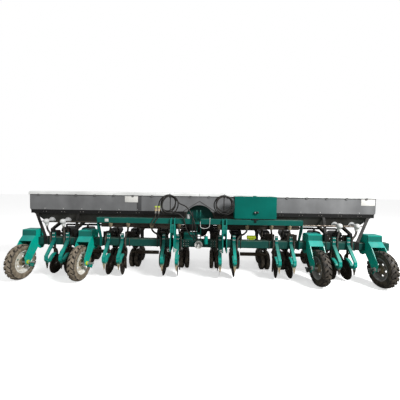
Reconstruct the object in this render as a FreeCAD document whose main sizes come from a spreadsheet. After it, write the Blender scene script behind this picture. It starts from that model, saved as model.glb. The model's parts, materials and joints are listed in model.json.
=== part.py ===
import FreeCAD, Part
import math
import os

import Sketcher

# Twelve-row precision planter for a tractor's three-point hitch, in millimetres.
# X runs to the right as seen from the tractor end, Y to the rear and Z up from the ground.
# Every sub-part is drawn in machine coordinates (X = 0 on the hitch's centre plane, Y = 0 on
# the toolbar's centre line). FRAME_X and FRAME_Y then set it down with the part's origin on the
# ground under the middle of its bounding box.

DIMENSIONS = {
    # crop layout: six ridges, an opener pair and a row pair on each
    "ridge_pitch": 1100,
    "opener_offset": 138,
    "row_offset": 225,
    # main toolbar, a square tube
    "bar_side": 150,
    "bar_corner": 14,
    "bar_z": 670,
    "bar_left_reach": 180,
    "bar_right_reach": 380,
    # tractor hitch
    "hitch_beside_opener": 70.5,
    "hitch_gap": 56,
    "hitch_plate": 14,
    "pin_y": -390,
    "pin_z": 620,
    "pin_hole": 18.6,
    "mast_z": 1305,
    "mast_y": -330,
    "mast_gap": 52,
    "mast_plate": 16,
    "top_pin_radius": 16,
    # front rail carried by two bent posts
    "rail_half": 1920,
    "rail_side": 100,
    "rail_y": -245,
    "rail_z": 1135,
    "post_plate": 12,
    # ground wheels and their forks
    "wheel_radius": 327.5,
    "tyre_width": 140,
    "rim_radius": 200,
    "wheel_y": -360,
    "wheel_inner_shift": 25,
    "wheel_outer_shift": 50,
    "fork_outer": 260,
    "fork_plate": 12,
    "axle_radius": 18,
    # fertilizer openers
    "shank_width": 56,
    "opener_radius": 190,
    "opener_y": -45,
    "opener_z": 203,
    "opener_plate": 5,
    "opener_aside": 12,
    "opener_turn": 5,
    "opener_tilt": 4,
    "opener_pin": 12,
    "opener_arm": 20,
    # row units
    "gauge_radius": 200,
    "gauge_width": 75,
    "gauge_inner": 22,
    "seed_disc_inner": 12,
    "gauge_y": 500,
    "arm_front_y": 150,
    "arm_rear_y": 430,
    "arm_upper_z": 790,
    "arm_lower_z": 640,
    "arm_drop": 80,
    "arm_half": 62,
    "arm_plate": 10,
    "arm_pin": 9,
    "press_radius": 170,
    "press_width": 120,
    "press_y": 960,
    "meter_radius": 120,
    "meter_width": 90,
    "meter_y": 560,
    "meter_above_wheel": 190,
    "seed_box_width": 210,
    "seed_bin_crown": 141,
    "gauge_pin": 12,
    "press_pin": 10,
    "cheek": 8,
    "link_bar": 22,
    # fertilizer hopper
    "hopper_reach": 225,
    "hopper_front": 110,
    "hopper_depth": 530,
    "hopper_top": 1600,
    "hopper_knee": 1276,
    "hopper_waist": 1212,
    "hopper_bottom": 1000,
    "support_width": 50,
    "trough_front": 215,
    "trough_rear": 345,
    "hopper_wall": 4,
    "arch_radius": 300,
    "arch_z": 1120,
    "lid_height": 62,
    "lid_overlap": 14,
    "lid_wall": 3,
    "hinge_radius": 7,
    "rim_plate": 5,
    # hose coils
    "hose_radius": 17,
    "coil_radius": 155,
    "coil_thickness": 56,
    "coil_z": 1460,
    "line_radius": 11,
    "coupler_radius": 17,
    # control box
    "box_left": 665,
    "box_right": 1437,
    "box_front": -300,
    "box_depth": 220,
    "box_bottom": 1205,
    "box_height": 410,
    "box_wall": 4,
    "box_door": 12,
    # fan and driveline
    "drive_radius": 105,
    "shaft_radius": 17.45,
    "motor_radius": 38,
}

PLANES = {
    # sketch x, y and normal are: Y, Z and X for a side profile; X, Z and -Y for a front one
    "side": FreeCAD.Rotation(FreeCAD.Vector(1, 1, 1), 120),
    "front": FreeCAD.Rotation(FreeCAD.Vector(1, 0, 0), 90),
    "top": FreeCAD.Rotation(),
}
OUTER_FURROW = "(3 * dim.ridge_pitch)"
BAR_LEFT = f"({OUTER_FURROW} + dim.bar_left_reach)"
BAR_RIGHT = f"({OUTER_FURROW} + dim.bar_right_reach)"
HOPPER_END = f"({OUTER_FURROW} + dim.hopper_reach)"
FRAME_X = f"-({BAR_RIGHT} - {HOPPER_END} - dim.lid_overlap) / 2"
FRAME_Y = "-(dim.press_y + dim.press_radius + dim.wheel_y - dim.wheel_radius) / 2"
RIDGES = 6
COIL_PLACES = {"left": "-545", "right": "468"}
BAR_FRONT = "-dim.bar_side / 2"
BAR_REAR = "dim.bar_side / 2"
BAR_TOP = "(dim.bar_z + dim.bar_side / 2)"
BAR_BOTTOM = "(dim.bar_z - dim.bar_side / 2)"
HITCH_HALF = "(dim.ridge_pitch / 2 - dim.opener_offset + dim.hitch_beside_opener)"
ARM_INSIDE = "(2 * dim.arm_half - dim.arm_plate - 2)"
BOOT_X = "-24"
BOOT_Y = "32"
BOOT_TOP = "425"
WHEEL_TOP = "(2 * dim.gauge_radius)"
SEED_METER_Z = f"({WHEEL_TOP} + dim.meter_above_wheel)"
METER_Y = "10"
METER_Z = "(dim.hopper_bottom + 60)"
HOSE_TOP = "960"
FLANGE_Z = "(dim.hopper_waist - 2)"
HINGE_Y = "(dim.hopper_front - dim.lid_overlap)"
COIL_Y = "(dim.rail_y - 8.3 - dim.coil_thickness / 2)"
BOX_TOP = "(dim.box_bottom + dim.box_height)"
COIL_FLAT = "3"  # depth of the flat on a coil that a line leaves from
RUN_SHARE = 0.45  # share of a hose's shorter run that its bend takes up
SAME = 0.001  # lengths this close are equal
FIT = "0.05"  # radial clearance of a pin or an axle in its hole
SEAT = "0.3"  # gap where a moving piece rests on a fixed one
HINGE_Z = f"(dim.hopper_top + {SEAT})"
TURNING = "6"  # clearance beside and round what turns
doc = FreeCAD.newDocument("precision_planter")
sheet = doc.addObject("Spreadsheet::Sheet", "dim")


def fill_sheet():
    """Writes each driving dimension into its own cell and gives the cell its alias."""
    for number, (alias, value) in enumerate(DIMENSIONS.items(), start=1):
        sheet.set(f"A{number}", alias)
        sheet.set(f"B{number}", str(value))
        sheet.setAlias(f"B{number}", alias)
    doc.recompute()


def value(expression):
    """The number that an expression on the sheet comes to."""
    return float(sheet.evalExpression(str(expression)))


def bind(thing, **sizes):
    """Ties properties of an object to expressions on the sheet."""
    for name, expression in sizes.items():
        thing.setExpression(name.replace("__", "."), str(expression))


def move(thing, x="0", y="0", z="0"):
    """Ties an object's place to expressions on the sheet."""
    bind(thing, Placement__Base__x=x, Placement__Base__y=y, Placement__Base__z=z)
    return thing


def box(x, y, z, length, width, height):
    made = doc.addObject("Part::Box", "box")
    bind(made, Length=length, Width=width, Height=height)
    return move(made, x, y, z)


def cylinder(radius, height, x="0", y="0", z="0", along="x"):
    """A cylinder whose first face has its centre at x, y, z."""
    made = doc.addObject("Part::Cylinder", "cylinder")
    bind(made, Radius=radius, Height=height)
    turns = {"x": ((0, 1, 0), 90), "y": ((1, 0, 0), -90), "z": ((0, 0, 1), 0)}
    axis, angle = turns[along]
    made.Placement.Rotation = FreeCAD.Rotation(FreeCAD.Vector(*axis), angle)
    return move(made, x, y, z)


def sphere(radius, x, y, z):
    made = doc.addObject("Part::Sphere", "sphere")
    bind(made, Radius=radius)
    return move(made, x, y, z)


def outline(plane, corners):
    """A closed sketch. Each corner is (x, y) or (x, y, radius): the edge after it is then
    an arc of that radius, bulging to the right of the way round, or left if it is negative."""
    sketch = doc.addObject("Sketcher::SketchObject", "outline")
    sketch.Placement = FreeCAD.Placement(FreeCAD.Vector(), PLANES[plane])
    spots = [FreeCAD.Vector(value(c[0]), value(c[1]), 0) for c in corners]
    ends = []
    for number, corner in enumerate(corners):
        here, there = spots[number], spots[(number + 1) % len(spots)]
        if len(corner) == 2:
            edge = sketch.addGeometry(Part.LineSegment(here, there))
            ends.append((edge, 1, 2))
            continue
        edge = sketch.addGeometry(arc_between(here, there, value(corner[2])))
        ends.append((edge, 1, 2) if value(corner[2]) > 0 else (edge, 2, 1))
    for number, (edge, start, end) in enumerate(ends):
        following = ends[(number + 1) % len(ends)]
        sketch.addConstraint(Sketcher.Constraint("Coincident", edge, end, following[0], following[1]))
    for number, corner in enumerate(corners):
        edge, start, _ = ends[number]
        tie(sketch, ("DistanceX", -1, 1, edge, start), corner[0])
        tie(sketch, ("DistanceY", -1, 1, edge, start), corner[1])
        if len(corner) < 3:
            continue
        following = corners[(number + 1) % len(corners)]
        chord = spots[(number + 1) % len(spots)] - spots[number]
        if abs(chord.Length - 2 * abs(value(corner[2]))) > SAME:
            tie(sketch, ("Radius", edge), f"abs({corner[2]})")
        elif abs(chord.y) > abs(chord.x):
            tie(sketch, ("DistanceX", -1, 1, edge, 3), f"({corner[0]} + {following[0]}) / 2")
        else:
            tie(sketch, ("DistanceY", -1, 1, edge, 3), f"({corner[1]} + {following[1]}) / 2")
    return sketch


def tie(sketch, rule, expression):
    """Adds a dimension to a sketch and binds it to an expression on the sheet."""
    number = sketch.addConstraint(Sketcher.Constraint(*rule, value(expression)))
    if "dim." in expression:
        sketch.setExpression(f"Constraints[{number}]", expression)


def arc_between(here, there, radius):
    """The short arc between two points. A sketch's arcs all run anticlockwise."""
    chord = there - here
    left = FreeCAD.Vector(-chord.y, chord.x, 0).normalize()
    rise = math.sqrt(max(radius**2 - chord.Length**2 / 4, 0))
    centre = (here + there) / 2 + left * math.copysign(rise, radius)
    start, end = (here, there) if radius > 0 else (there, here)
    angles = [math.atan2(p.y - centre.y, p.x - centre.x) for p in (start, end)]
    if angles[1] <= angles[0]:
        angles[1] += 2 * math.pi
    circle = Part.Circle(centre, FreeCAD.Vector(0, 0, 1), abs(radius))
    return Part.ArcOfCircle(circle, *angles)


def extrude(plane, corners, thickness, x="0", y="0", z="0"):
    """A plate: the outline pushed along its plane's normal from x, y, z."""
    made = doc.addObject("Part::Extrusion", "plate")
    made.Base = outline(plane, corners)
    made.DirMode = "Normal"
    made.Solid = True
    bind(made, LengthFwd=thickness)
    return move(made, x, y, z)


def revolve(corners):
    """A turned piece: a front outline swept round the X axis."""
    made = doc.addObject("Part::Revolution", "turned")
    made.Source = outline("front", corners)
    made.Axis = FreeCAD.Vector(1, 0, 0)
    made.Angle = 360
    made.Solid = True
    return made


def fuse(*pieces):
    made = doc.addObject("Part::MultiFuse", "fused")
    made.Shapes = list(pieces)
    made.Refine = True
    return made


def cut(base, *tools):
    made = doc.addObject("Part::Cut", "cut")
    made.Base = base
    made.Tool = tools[0] if len(tools) == 1 else fuse(*tools)
    return made


def common(first, second):
    made = doc.addObject("Part::Common", "common")
    made.Base = first
    made.Tool = second
    return made


def group(*pieces):
    made = doc.addObject("Part::Compound", "group")
    made.Links = list(pieces)
    return made


def copy(piece, x="0", y="0", z="0"):
    return move(group(piece), x, y, z)


def mirror(piece):
    """The same piece on the other side of the machine's centre plane."""
    made = doc.addObject("Part::Mirroring", "mirrored")
    made.Source = piece
    made.Normal = FreeCAD.Vector(1, 0, 0)
    return made


def turn(piece, axis, angle):
    """The piece turned about an axis through the machine's origin."""
    made = group(piece)
    made.Placement.Rotation = FreeCAD.Rotation(FreeCAD.Vector(*axis), 1)
    bind(made, Placement__Rotation__Angle=angle)
    return made


def subpart(label, *pieces):
    """A finished sub-part: its pieces as one object, set down in the part's frame."""
    made = group(*pieces)
    made.Label = label
    made.addProperty("App::PropertyBool", "Finished")
    return move(made, FRAME_X, FRAME_Y)


def ridge_x(ridge):
    """Ridge centres from left to right: -2.5, -1.5, ... +2.5 pitches."""
    return f"({ridge - (RIDGES - 1) / 2} * dim.ridge_pitch)"


def opener_places():
    return [f"{ridge_x(r)} {side} dim.opener_offset" for r in range(RIDGES) for side in "-+"]


def row_places():
    return [f"{ridge_x(r)} {side} dim.row_offset" for r in range(RIDGES) for side in "-+"]


def wheel_places():
    """Name and place of each ground wheel: they run in the furrows between ridges."""
    inner = "(2 * dim.ridge_pitch + dim.wheel_inner_shift)"
    outer = "(3 * dim.ridge_pitch + dim.wheel_outer_shift)"
    return {
        "left_outer": f"-{outer}",
        "left_inner": f"-{inner}",
        "right_inner": inner,
        "right_outer": outer,
    }


def repeat(piece, places):
    return [copy(piece, x=place) for place in places]


def rounded_square(side, corner, y, z):
    """Corners of a square side profile with rounded corners."""
    low_y, high_y = f"{y} - {side} / 2", f"{y} + {side} / 2"
    low_z, high_z = f"{z} - {side} / 2", f"{z} + {side} / 2"
    return [
        (f"{low_y} + {corner}", low_z),
        (f"{high_y} - {corner}", low_z, corner),
        (high_y, f"{low_z} + {corner}"),
        (high_y, f"{high_z} - {corner}", corner),
        (f"{high_y} - {corner}", high_z),
        (f"{low_y} + {corner}", high_z, corner),
        (low_y, f"{high_z} - {corner}"),
        (low_y, f"{low_z} + {corner}", corner),
    ]


def make_toolbar():
    profile = rounded_square("dim.bar_side", "dim.bar_corner", "0", "dim.bar_z")
    subpart("toolbar", extrude("side", profile, f"{BAR_LEFT} + {BAR_RIGHT}", x=f"-{BAR_LEFT}"))


def make_headstock():
    """Lower hitch brackets for the tractor's link pins, and the mast for the top link."""
    profile = [
        (BAR_FRONT, BAR_BOTTOM),
        (BAR_FRONT, f"{BAR_TOP} + 25"),
        ("dim.rail_y + dim.rail_side / 2 + 8", "dim.rail_z + dim.rail_side / 2 + 4"),
        ("dim.rail_y - dim.rail_side / 2 - 30", "dim.rail_z + dim.rail_side / 2 + 4"),
        ("dim.pin_y - 45", "dim.pin_z + 60"),
        ("dim.pin_y - 45", "dim.pin_z", "45"),
        ("dim.pin_y", "dim.pin_z - 45"),
        ("dim.pin_y + 180", "dim.pin_z - 45"),
    ]
    width = "(dim.hitch_gap + 2 * dim.hitch_plate)"
    hole = cylinder("dim.pin_hole", "dim.hitch_plate", "0", "dim.pin_y", "dim.pin_z")
    plate = cut(extrude("side", profile, "dim.hitch_plate"), rail_window(), hole)
    brace = box("-dim.hitch_gap / 2", "dim.pin_y + 60", "870", "dim.hitch_gap", "80", "100")
    side = fuse(copy(plate, x="dim.hitch_gap / 2"), copy(plate, x=f"-{width} / 2"), brace)
    mast = [
        (BAR_REAR, BAR_TOP),
        (BAR_REAR, f"{BAR_TOP} + 60"),
        ("dim.mast_y + 50", "dim.mast_z + 10"),
        ("dim.mast_y + 10", "dim.mast_z + 50", "45"),
        ("dim.mast_y - 40", "dim.mast_z + 10"),
        ("dim.mast_y - 40", "dim.mast_z - 60"),
        (BAR_FRONT, BAR_TOP),
    ]
    cheek = cut(
        extrude("side", mast, "dim.mast_plate"),
        rail_window(),
        cylinder("dim.top_pin_radius", "dim.mast_plate", "0", "dim.mast_y", "dim.mast_z"),
    )
    mast_pair = (copy(cheek, x="dim.mast_gap / 2"), copy(cheek, x="-dim.mast_gap / 2 - dim.mast_plate"))
    right = copy(side, x=HITCH_HALF)
    subpart("headstock", right, mirror(right), *mast_pair)


def rail_window():
    """The opening that lets a plate slip over the front rail."""
    edge = "(dim.rail_side / 2 + 0.5)"
    return box(
        "-50", f"dim.rail_y - {edge}", f"dim.rail_z - {edge}", "100", f"2 * ({edge})", f"2 * ({edge})"
    )


def make_front_rail():
    """Square tube held forward of the toolbar by a bent plate at each end."""
    profile = rounded_square("dim.rail_side", "8", "dim.rail_y", "dim.rail_z")
    rail = extrude("side", profile, "2 * dim.rail_half", x="-dim.rail_half")
    post = [
        ("dim.rail_y - dim.rail_side / 2", "dim.rail_z + dim.rail_side / 2"),
        ("dim.rail_y - dim.rail_side / 2 + 20", "dim.rail_z - 160"),
        (f"{BAR_FRONT} - 90", f"{BAR_TOP} + 20"),
        (f"{BAR_FRONT} - 90", BAR_BOTTOM),
        (BAR_FRONT, BAR_BOTTOM),
        (BAR_FRONT, f"{BAR_TOP}"),
        ("dim.rail_y + dim.rail_side / 2", "dim.rail_z - 60"),
        ("dim.rail_y + dim.rail_side / 2", "dim.rail_z + dim.rail_side / 2"),
    ]
    right = extrude("side", post, "dim.post_plate", x="dim.rail_half")
    rail_top = "(dim.rail_z + dim.rail_side / 2)"
    hook_z = "(dim.coil_z + dim.coil_radius - dim.coil_thickness / 2 - 6 - 0.3)"
    stands = []
    for x in COIL_PLACES.values():
        stands.append(cylinder("8", f"{hook_z} - {rail_top} + 20", x, "dim.rail_y", rail_top, along="z"))
        stands.append(cylinder("6", "85", x, "dim.rail_y - 85", hook_z, along="y"))
    subpart("front_rail", fuse(rail, right, mirror(right), *stands))


def make_wheels():
    """Tyre and disc rim turned as one piece, with vent holes round the hub."""
    half = "dim.tyre_width / 2"
    profile = [
        ("-35", "0"),
        ("35", "0"),
        ("35", "62"),
        ("22", "70"),
        ("22", "150"),
        ("50", "175"),
        ("50", "dim.rim_radius"),
        ("62", "dim.rim_radius + 12"),
        (f"{half}", "dim.rim_radius + 50", "90"),
        (f"{half} - 12", "dim.wheel_radius - 22"),
        (f"{half} - 30", "dim.wheel_radius"),
        (f"30 - {half}", "dim.wheel_radius"),
        (f"12 - {half}", "dim.wheel_radius - 22", "90"),
        (f"-{half}", "dim.rim_radius + 50"),
        ("-62", "dim.rim_radius + 12"),
        ("-50", "dim.rim_radius"),
        ("-50", "175"),
        ("-4", "165"),
        ("10", "150"),
        ("10", "75"),
        ("-35", "62"),
    ]
    disc = revolve(profile)
    vents = [
        cylinder("20", "80", "-20", f"112 * cos({72 * k} deg)", f"112 * sin({72 * k} deg)")
        for k in range(5)
    ]
    bore = cylinder("dim.axle_radius + 0.05", "90", "-45")
    wheel = cut(disc, bore, *vents)
    for name, place in wheel_places().items():
        subpart(f"wheel_{name}", copy(wheel, place, "dim.wheel_y", "dim.wheel_radius"))


def make_forks():
    """Each fork clamps round the toolbar and reaches forward and down to its wheel's axle."""
    profile = [
        ("-150", "905"),
        ("-160", "785"),
        ("-245", "700"),
        ("dim.wheel_y - 70", "420"),
        ("dim.wheel_y - 40", "dim.wheel_radius - 30", "48"),
        ("dim.wheel_y + 40", "dim.wheel_radius - 30"),
        ("dim.wheel_y + 90", "330"),
        ("-85", "548"),
        ("-20", "505"),
        ("60", "505"),
        ("120", "570"),
        ("130", "700"),
        ("110", "880"),
        ("60", "905"),
    ]
    hole = box(
        "-50", f"{BAR_FRONT} - 0.2", f"{BAR_BOTTOM} - 0.2", "100",
        "dim.bar_side + 0.4", "dim.bar_side + 0.4",
    )
    axle_hole = cylinder("dim.axle_radius", "100", "-50", "dim.wheel_y", "dim.wheel_radius")
    cheek = cut(extrude("side", profile, "dim.fork_plate"), hole, axle_hole)
    inside = "(dim.fork_outer - 2 * dim.fork_plate)"
    top = box("-dim.fork_outer / 2", "-150", "893", "dim.fork_outer", "210", "12")
    face = box(f"-{inside} / 2", "-150", "785", inside, "10", "110")
    apron = [("-150", "793"), ("-160", "785"), ("-245", "700"), ("-238", "692"), ("-148", "780")]
    slope = extrude("side", apron, inside, x=f"-{inside} / 2")
    back = box(f"-{inside} / 2", f"{BAR_REAR} + 10", "600", inside, "10", "280")
    axle = fuse(
        cylinder("dim.axle_radius", "dim.fork_outer + 50", "-dim.fork_outer / 2 - 25"),
        cylinder("28", "22", "-dim.fork_outer / 2 - 22"),
        cylinder("28", "22", "dim.fork_outer / 2"),
    )
    fork = fuse(
        copy(cheek, x=f"{inside} / 2"), copy(cheek, x="-dim.fork_outer / 2"), top, face, slope, back,
        copy(axle, "0", "dim.wheel_y", "dim.wheel_radius"),
    )
    subpart("wheel_forks", *repeat(fork, wheel_places().values()))


def make_opener_shanks():
    """Spring shank: a flat bar that bows forward and down from its clamp and returns over the
    disc, with the arm that holds the disc's hub and the boot behind it."""
    strap = [
        (BAR_FRONT, f"{BAR_TOP} + 105"),
        (f"{BAR_FRONT} - 34", f"{BAR_TOP} + 105"),
        (f"{BAR_FRONT} - 34", "700"),
        ("-345", "440"),
        ("-345", "395", "60"),
        ("-300", "318"),
        ("dim.opener_y - 190", "dim.opener_z + 80", "-206"),
        ("dim.opener_y - 10", "dim.opener_z + 206"),
        ("dim.opener_y - 10", "dim.opener_z + 240", "240"),
        ("dim.opener_y - 190", "dim.opener_z + 146"),
        ("-285", "352", "-30"),
        ("-311", "395"),
        ("-311", "428"),
        (BAR_FRONT, "687"),
    ]
    flat_bar = extrude("side", strap, "dim.shank_width", x="-dim.shank_width / 2")
    share = [
        ("-dim.shank_width / 2", "360"),
        ("-dim.shank_width / 2", "300"),
        ("-6", "190"),
        ("6", "190"),
        ("dim.shank_width / 2", "300"),
        ("dim.shank_width / 2", "360"),
    ]
    point = extrude("front", share, "10", y="-298")
    arm = [
        ("-62", BAR_BOTTOM),
        ("-62", "400"),
        ("dim.opener_y - 11", "dim.opener_z + 9", "28"),
        ("dim.opener_y + 45", "dim.opener_z + 9"),
        ("10", "235"),
        ("18", "130"),
        ("48", "96"),
        ("64", "112"),
        ("54", "395"),
        ("2", "395"),
        ("-12", "440"),
        ("-12", BAR_BOTTOM),
    ]
    leg = extrude("side", arm, "dim.opener_arm", x=f"{BOOT_X} - dim.opener_arm / 2")
    cup = cylinder("21", f"{BOOT_TOP} - 380", BOOT_X, BOOT_Y, "380", along="z")
    pin = opener_turn(cylinder("dim.opener_pin", "68", "-48"))
    subpart("opener_shanks", *at_openers(fuse(flat_bar, point, leg, cup, pin)))


def at_openers(piece):
    """The piece at each opener, mirrored at the right one of each ridge."""
    other = mirror(piece)
    return [copy(other if number % 2 else piece, place) for number, place in enumerate(opener_places())]


def opener_turn(piece):
    """Sets a piece that was turned about the X axis at its opener: angled to the travel and
    leaning, with its hub beside the shank."""
    return copy(turn(turn(piece, (0, 1, 0), "dim.opener_tilt"), (0, 0, 1), "-dim.opener_turn"),
                "dim.opener_aside", "dim.opener_y", "dim.opener_z")


def make_opener_discs():
    """Angled cutting disc of each opener with the hub that turns on the shank's pin."""
    half = "dim.opener_plate / 2"
    bore = f"dim.opener_pin + {FIT}"
    profile = [
        ("-16", bore),
        ("16", bore),
        ("16", "36"),
        ("8", "45"),
        (half, "60"),
        (half, "dim.opener_radius - 14"),
        ("0.5", "dim.opener_radius"),
        ("-0.5", "dim.opener_radius"),
        (f"-{half}", "dim.opener_radius - 14"),
        (f"-{half}", "60"),
        ("-8", "45"),
        ("-16", "36"),
    ]
    for number, disc in enumerate(at_openers(opener_turn(revolve(profile))), start=1):
        subpart(f"opener_discs_{number:02}", disc)


def make_row_brackets():
    """Head bracket of each row unit, clamped to the toolbar's rear face."""
    profile = [
        (BAR_REAR, "590"),
        (BAR_REAR, "855"),
        ("150", "855"),
        ("dim.arm_front_y + 25", "830"),
        ("dim.arm_front_y + 25", "dim.arm_lower_z - 25"),
        ("dim.arm_front_y", "590"),
    ]
    body = extrude("side", profile, ARM_INSIDE, x=f"-{ARM_INSIDE} / 2")
    plate = box("-95", BAR_REAR, "575", "190", "12", "280")
    upper = arm_pin("dim.arm_front_y", "dim.arm_upper_z", FIT)
    lower = arm_pin("dim.arm_front_y", "dim.arm_lower_z", FIT)
    bracket = cut(fuse(body, plate), upper, lower)
    subpart("row_brackets", *repeat(bracket, row_places()))


def arm_pin(y, z, clearance="0"):
    """Pin across a pair of arms, or the hole that it needs with that clearance."""
    width = "(2 * dim.arm_half + dim.arm_plate)"
    return cylinder(f"dim.arm_pin + {clearance}", width, f"-{width} / 2", y, z)


def make_parallel_arms():
    """Upper and lower arm pairs that let each row unit ride over the ground."""
    linkage = []
    for z in ("dim.arm_upper_z", "dim.arm_lower_z"):
        arm = [
            ("dim.arm_front_y", f"{z} - 22"),
            ("dim.arm_rear_y", f"{z} - dim.arm_drop - 22", "22"),
            ("dim.arm_rear_y", f"{z} - dim.arm_drop + 22"),
            ("dim.arm_front_y", f"{z} + 22", "22"),
        ]
        right = extrude("side", arm, "dim.arm_plate", x="dim.arm_half - dim.arm_plate / 2")
        pins = arm_pin("dim.arm_front_y", z), arm_pin("dim.arm_rear_y", f"{z} - dim.arm_drop")
        linkage.append(fuse(right, mirror(right), *pins))
    subpart("parallel_arms", *repeat(group(*linkage), row_places()))


def make_row_frames():
    """Row unit frame: two cheeks round the meter, the shank between the seed discs, the stop
    in front of them and the press wheel's fork."""
    low, high = "(dim.arm_lower_z - dim.arm_drop)", "(dim.arm_upper_z - dim.arm_drop)"
    front, half = "dim.arm_rear_y - 28", "dim.meter_width / 2"
    cheek = [
        (front, f"{low} - 50"),
        ("dim.gauge_y - 50", f"{WHEEL_TOP} + 20"),
        ("dim.meter_y + 60", f"{WHEEL_TOP} + 20"),
        ("dim.meter_y + 78", f"{WHEEL_TOP} + 60"),
        ("dim.meter_y + 60", f"{WHEEL_TOP} + 100", "-190"),
        ("dim.arm_rear_y + 45", f"{high} + 30"),
        (front, f"{high} + 30"),
    ]
    side = cut(
        extrude("side", cheek, "dim.cheek", x=half),
        arm_pin("dim.arm_rear_y", high, FIT),
        arm_pin("dim.arm_rear_y", low, FIT),
    )
    shield = box(f"-{half}", front, f"{low} - 50", "dim.meter_width", "8", f"{high} - {low} + 80")
    floor = box(f"-{half}", "dim.gauge_y - 50", f"{WHEEL_TOP} + 20", "dim.meter_width", "160", "10")
    thick = f"(2 * (dim.seed_disc_inner - {TURNING}))"
    leg = box(f"-{thick} / 2", "dim.gauge_y - 30", "dim.gauge_radius - 20", thick, "60", "dim.gauge_radius + 50")
    pin = cylinder("dim.gauge_pin", "2 * (dim.gauge_inner + dim.gauge_width) + 10",
                   "-(dim.gauge_inner + dim.gauge_width) - 5", "dim.gauge_y", "dim.gauge_radius")
    unit = fuse(side, mirror(side), shield, floor, leg, pin, make_stop(low), make_press_fork())
    linked = fuse(unit, make_link_bar())
    places = row_places()
    joined_left = [places[1], places[3]]
    joined_right = [places[-4], places[-2]]
    plain = [place for place in places if place not in joined_left + joined_right]
    bars = repeat(mirror(linked), joined_left) + repeat(linked, joined_right)
    subpart("row_unit_frames", *repeat(unit, plain), *bars)


def make_stop(low):
    """The stop in front of the seed discs: an arm in their slot with a cross bar at its foot."""
    edge = "(dim.gauge_y - dim.gauge_radius)"
    arm = [
        (f"{edge} - 4", "dim.gauge_radius + 92"),
        (f"{edge} + 12", "dim.gauge_radius + 92"),
        ("dim.arm_rear_y - 12", f"{low} - 90"),
        ("dim.arm_rear_y - 12", f"{low} - 10"),
        ("dim.arm_rear_y - 28", f"{low} - 10"),
    ]
    bar = box("-45", f"{edge} - 4", "dim.gauge_radius + 92", "90", "12", "16")
    return fuse(extrude("side", arm, "10", x="-5"), bar)


def make_link_bar():
    """Round bar that reaches from a unit's stop across the furrow towards the next ridge."""
    length = "(dim.ridge_pitch - 2 * dim.row_offset - 130)"
    return cylinder("dim.link_bar", length, f"5 - {length}", "dim.gauge_y - dim.gauge_radius + 30",
                    "dim.gauge_radius + 172")


def make_press_fork():
    """Two side arms, the bridge that joins them to the cheeks and the press wheel's axle."""
    half = "(dim.press_width / 2 + 8)"
    arm = [
        ("dim.meter_y + 30", f"{WHEEL_TOP} + 20"),
        ("dim.press_y - 15", "dim.press_radius - 25"),
        ("dim.press_y + 25", "dim.press_radius + 10"),
        ("dim.meter_y + 78", f"{WHEEL_TOP} + 60"),
        ("dim.meter_y + 30", f"{WHEEL_TOP} + 60"),
    ]
    side = extrude("side", arm, "8", x=half)
    bridge = box(f"-{half} - 8", "dim.meter_y + 35", f"{WHEEL_TOP} + 22", f"2 * {half} + 16", "35", "28")
    axle = cylinder("dim.press_pin", f"2 * {half} + 16", f"-{half} - 8", "dim.press_y", "dim.press_radius")
    return fuse(side, mirror(side), bridge, axle)


def make_gauge_wheels():
    """Twin depth wheels either side of the seed discs, all on one axle."""
    inner = "dim.gauge_inner"
    outer = "(dim.gauge_inner + dim.gauge_width)"
    profile = [
        (f"{inner}", "12.05"),
        (f"{outer}", "12.05"),
        (f"{outer}", "40"),
        (f"{inner} + 25", "55"),
        (f"{inner} + 25", "130"),
        (f"{outer} - 8", "150"),
        (f"{outer}", "dim.gauge_radius - 22"),
        (f"{outer} - 12", "dim.gauge_radius"),
        (f"{inner} + 8", "dim.gauge_radius"),
        (f"{inner}", "dim.gauge_radius - 14"),
        (f"{inner}", "140"),
        (f"{inner} + 12", "130"),
        (f"{inner} + 12", "60"),
        (f"{inner}", "50"),
    ]
    wheel = revolve(profile)
    blade = "dim.seed_disc_inner"
    disc = revolve([(blade, "12.05"), (inner, "12.05"), (inner, "50"), (f"{blade} + 4", "60"),
                    (f"{blade} + 4", "170"), (blade, "180")])
    pair = fuse(wheel, disc)
    both = group(pair, mirror(pair))
    for number, place in enumerate(row_places(), start=1):
        subpart(f"gauge_wheels_{number:02}", copy(both, place, "dim.gauge_y", "dim.gauge_radius"))


def make_press_wheels():
    """Single wide rubber wheel that firms the soil over the seed."""
    half = "dim.press_width / 2"
    profile = [
        (f"-{half}", "10.05"),
        (f"{half}", "10.05"),
        (f"{half}", "35"),
        (f"{half} - 25", "45"),
        (f"{half} - 25", "105"),
        (f"{half}", "115"),
        (f"{half}", "dim.press_radius - 30"),
        (f"{half} - 20", "dim.press_radius"),
        (f"20 - {half}", "dim.press_radius"),
        (f"-{half}", "dim.press_radius - 30"),
        (f"-{half}", "115"),
        (f"25 - {half}", "105"),
        (f"25 - {half}", "45"),
        (f"-{half}", "35"),
    ]
    wheel = revolve(profile)
    for number, place in enumerate(row_places(), start=1):
        subpart(f"press_wheel_{number:02}", copy(wheel, place, "dim.press_y", "dim.press_radius"))


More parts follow.
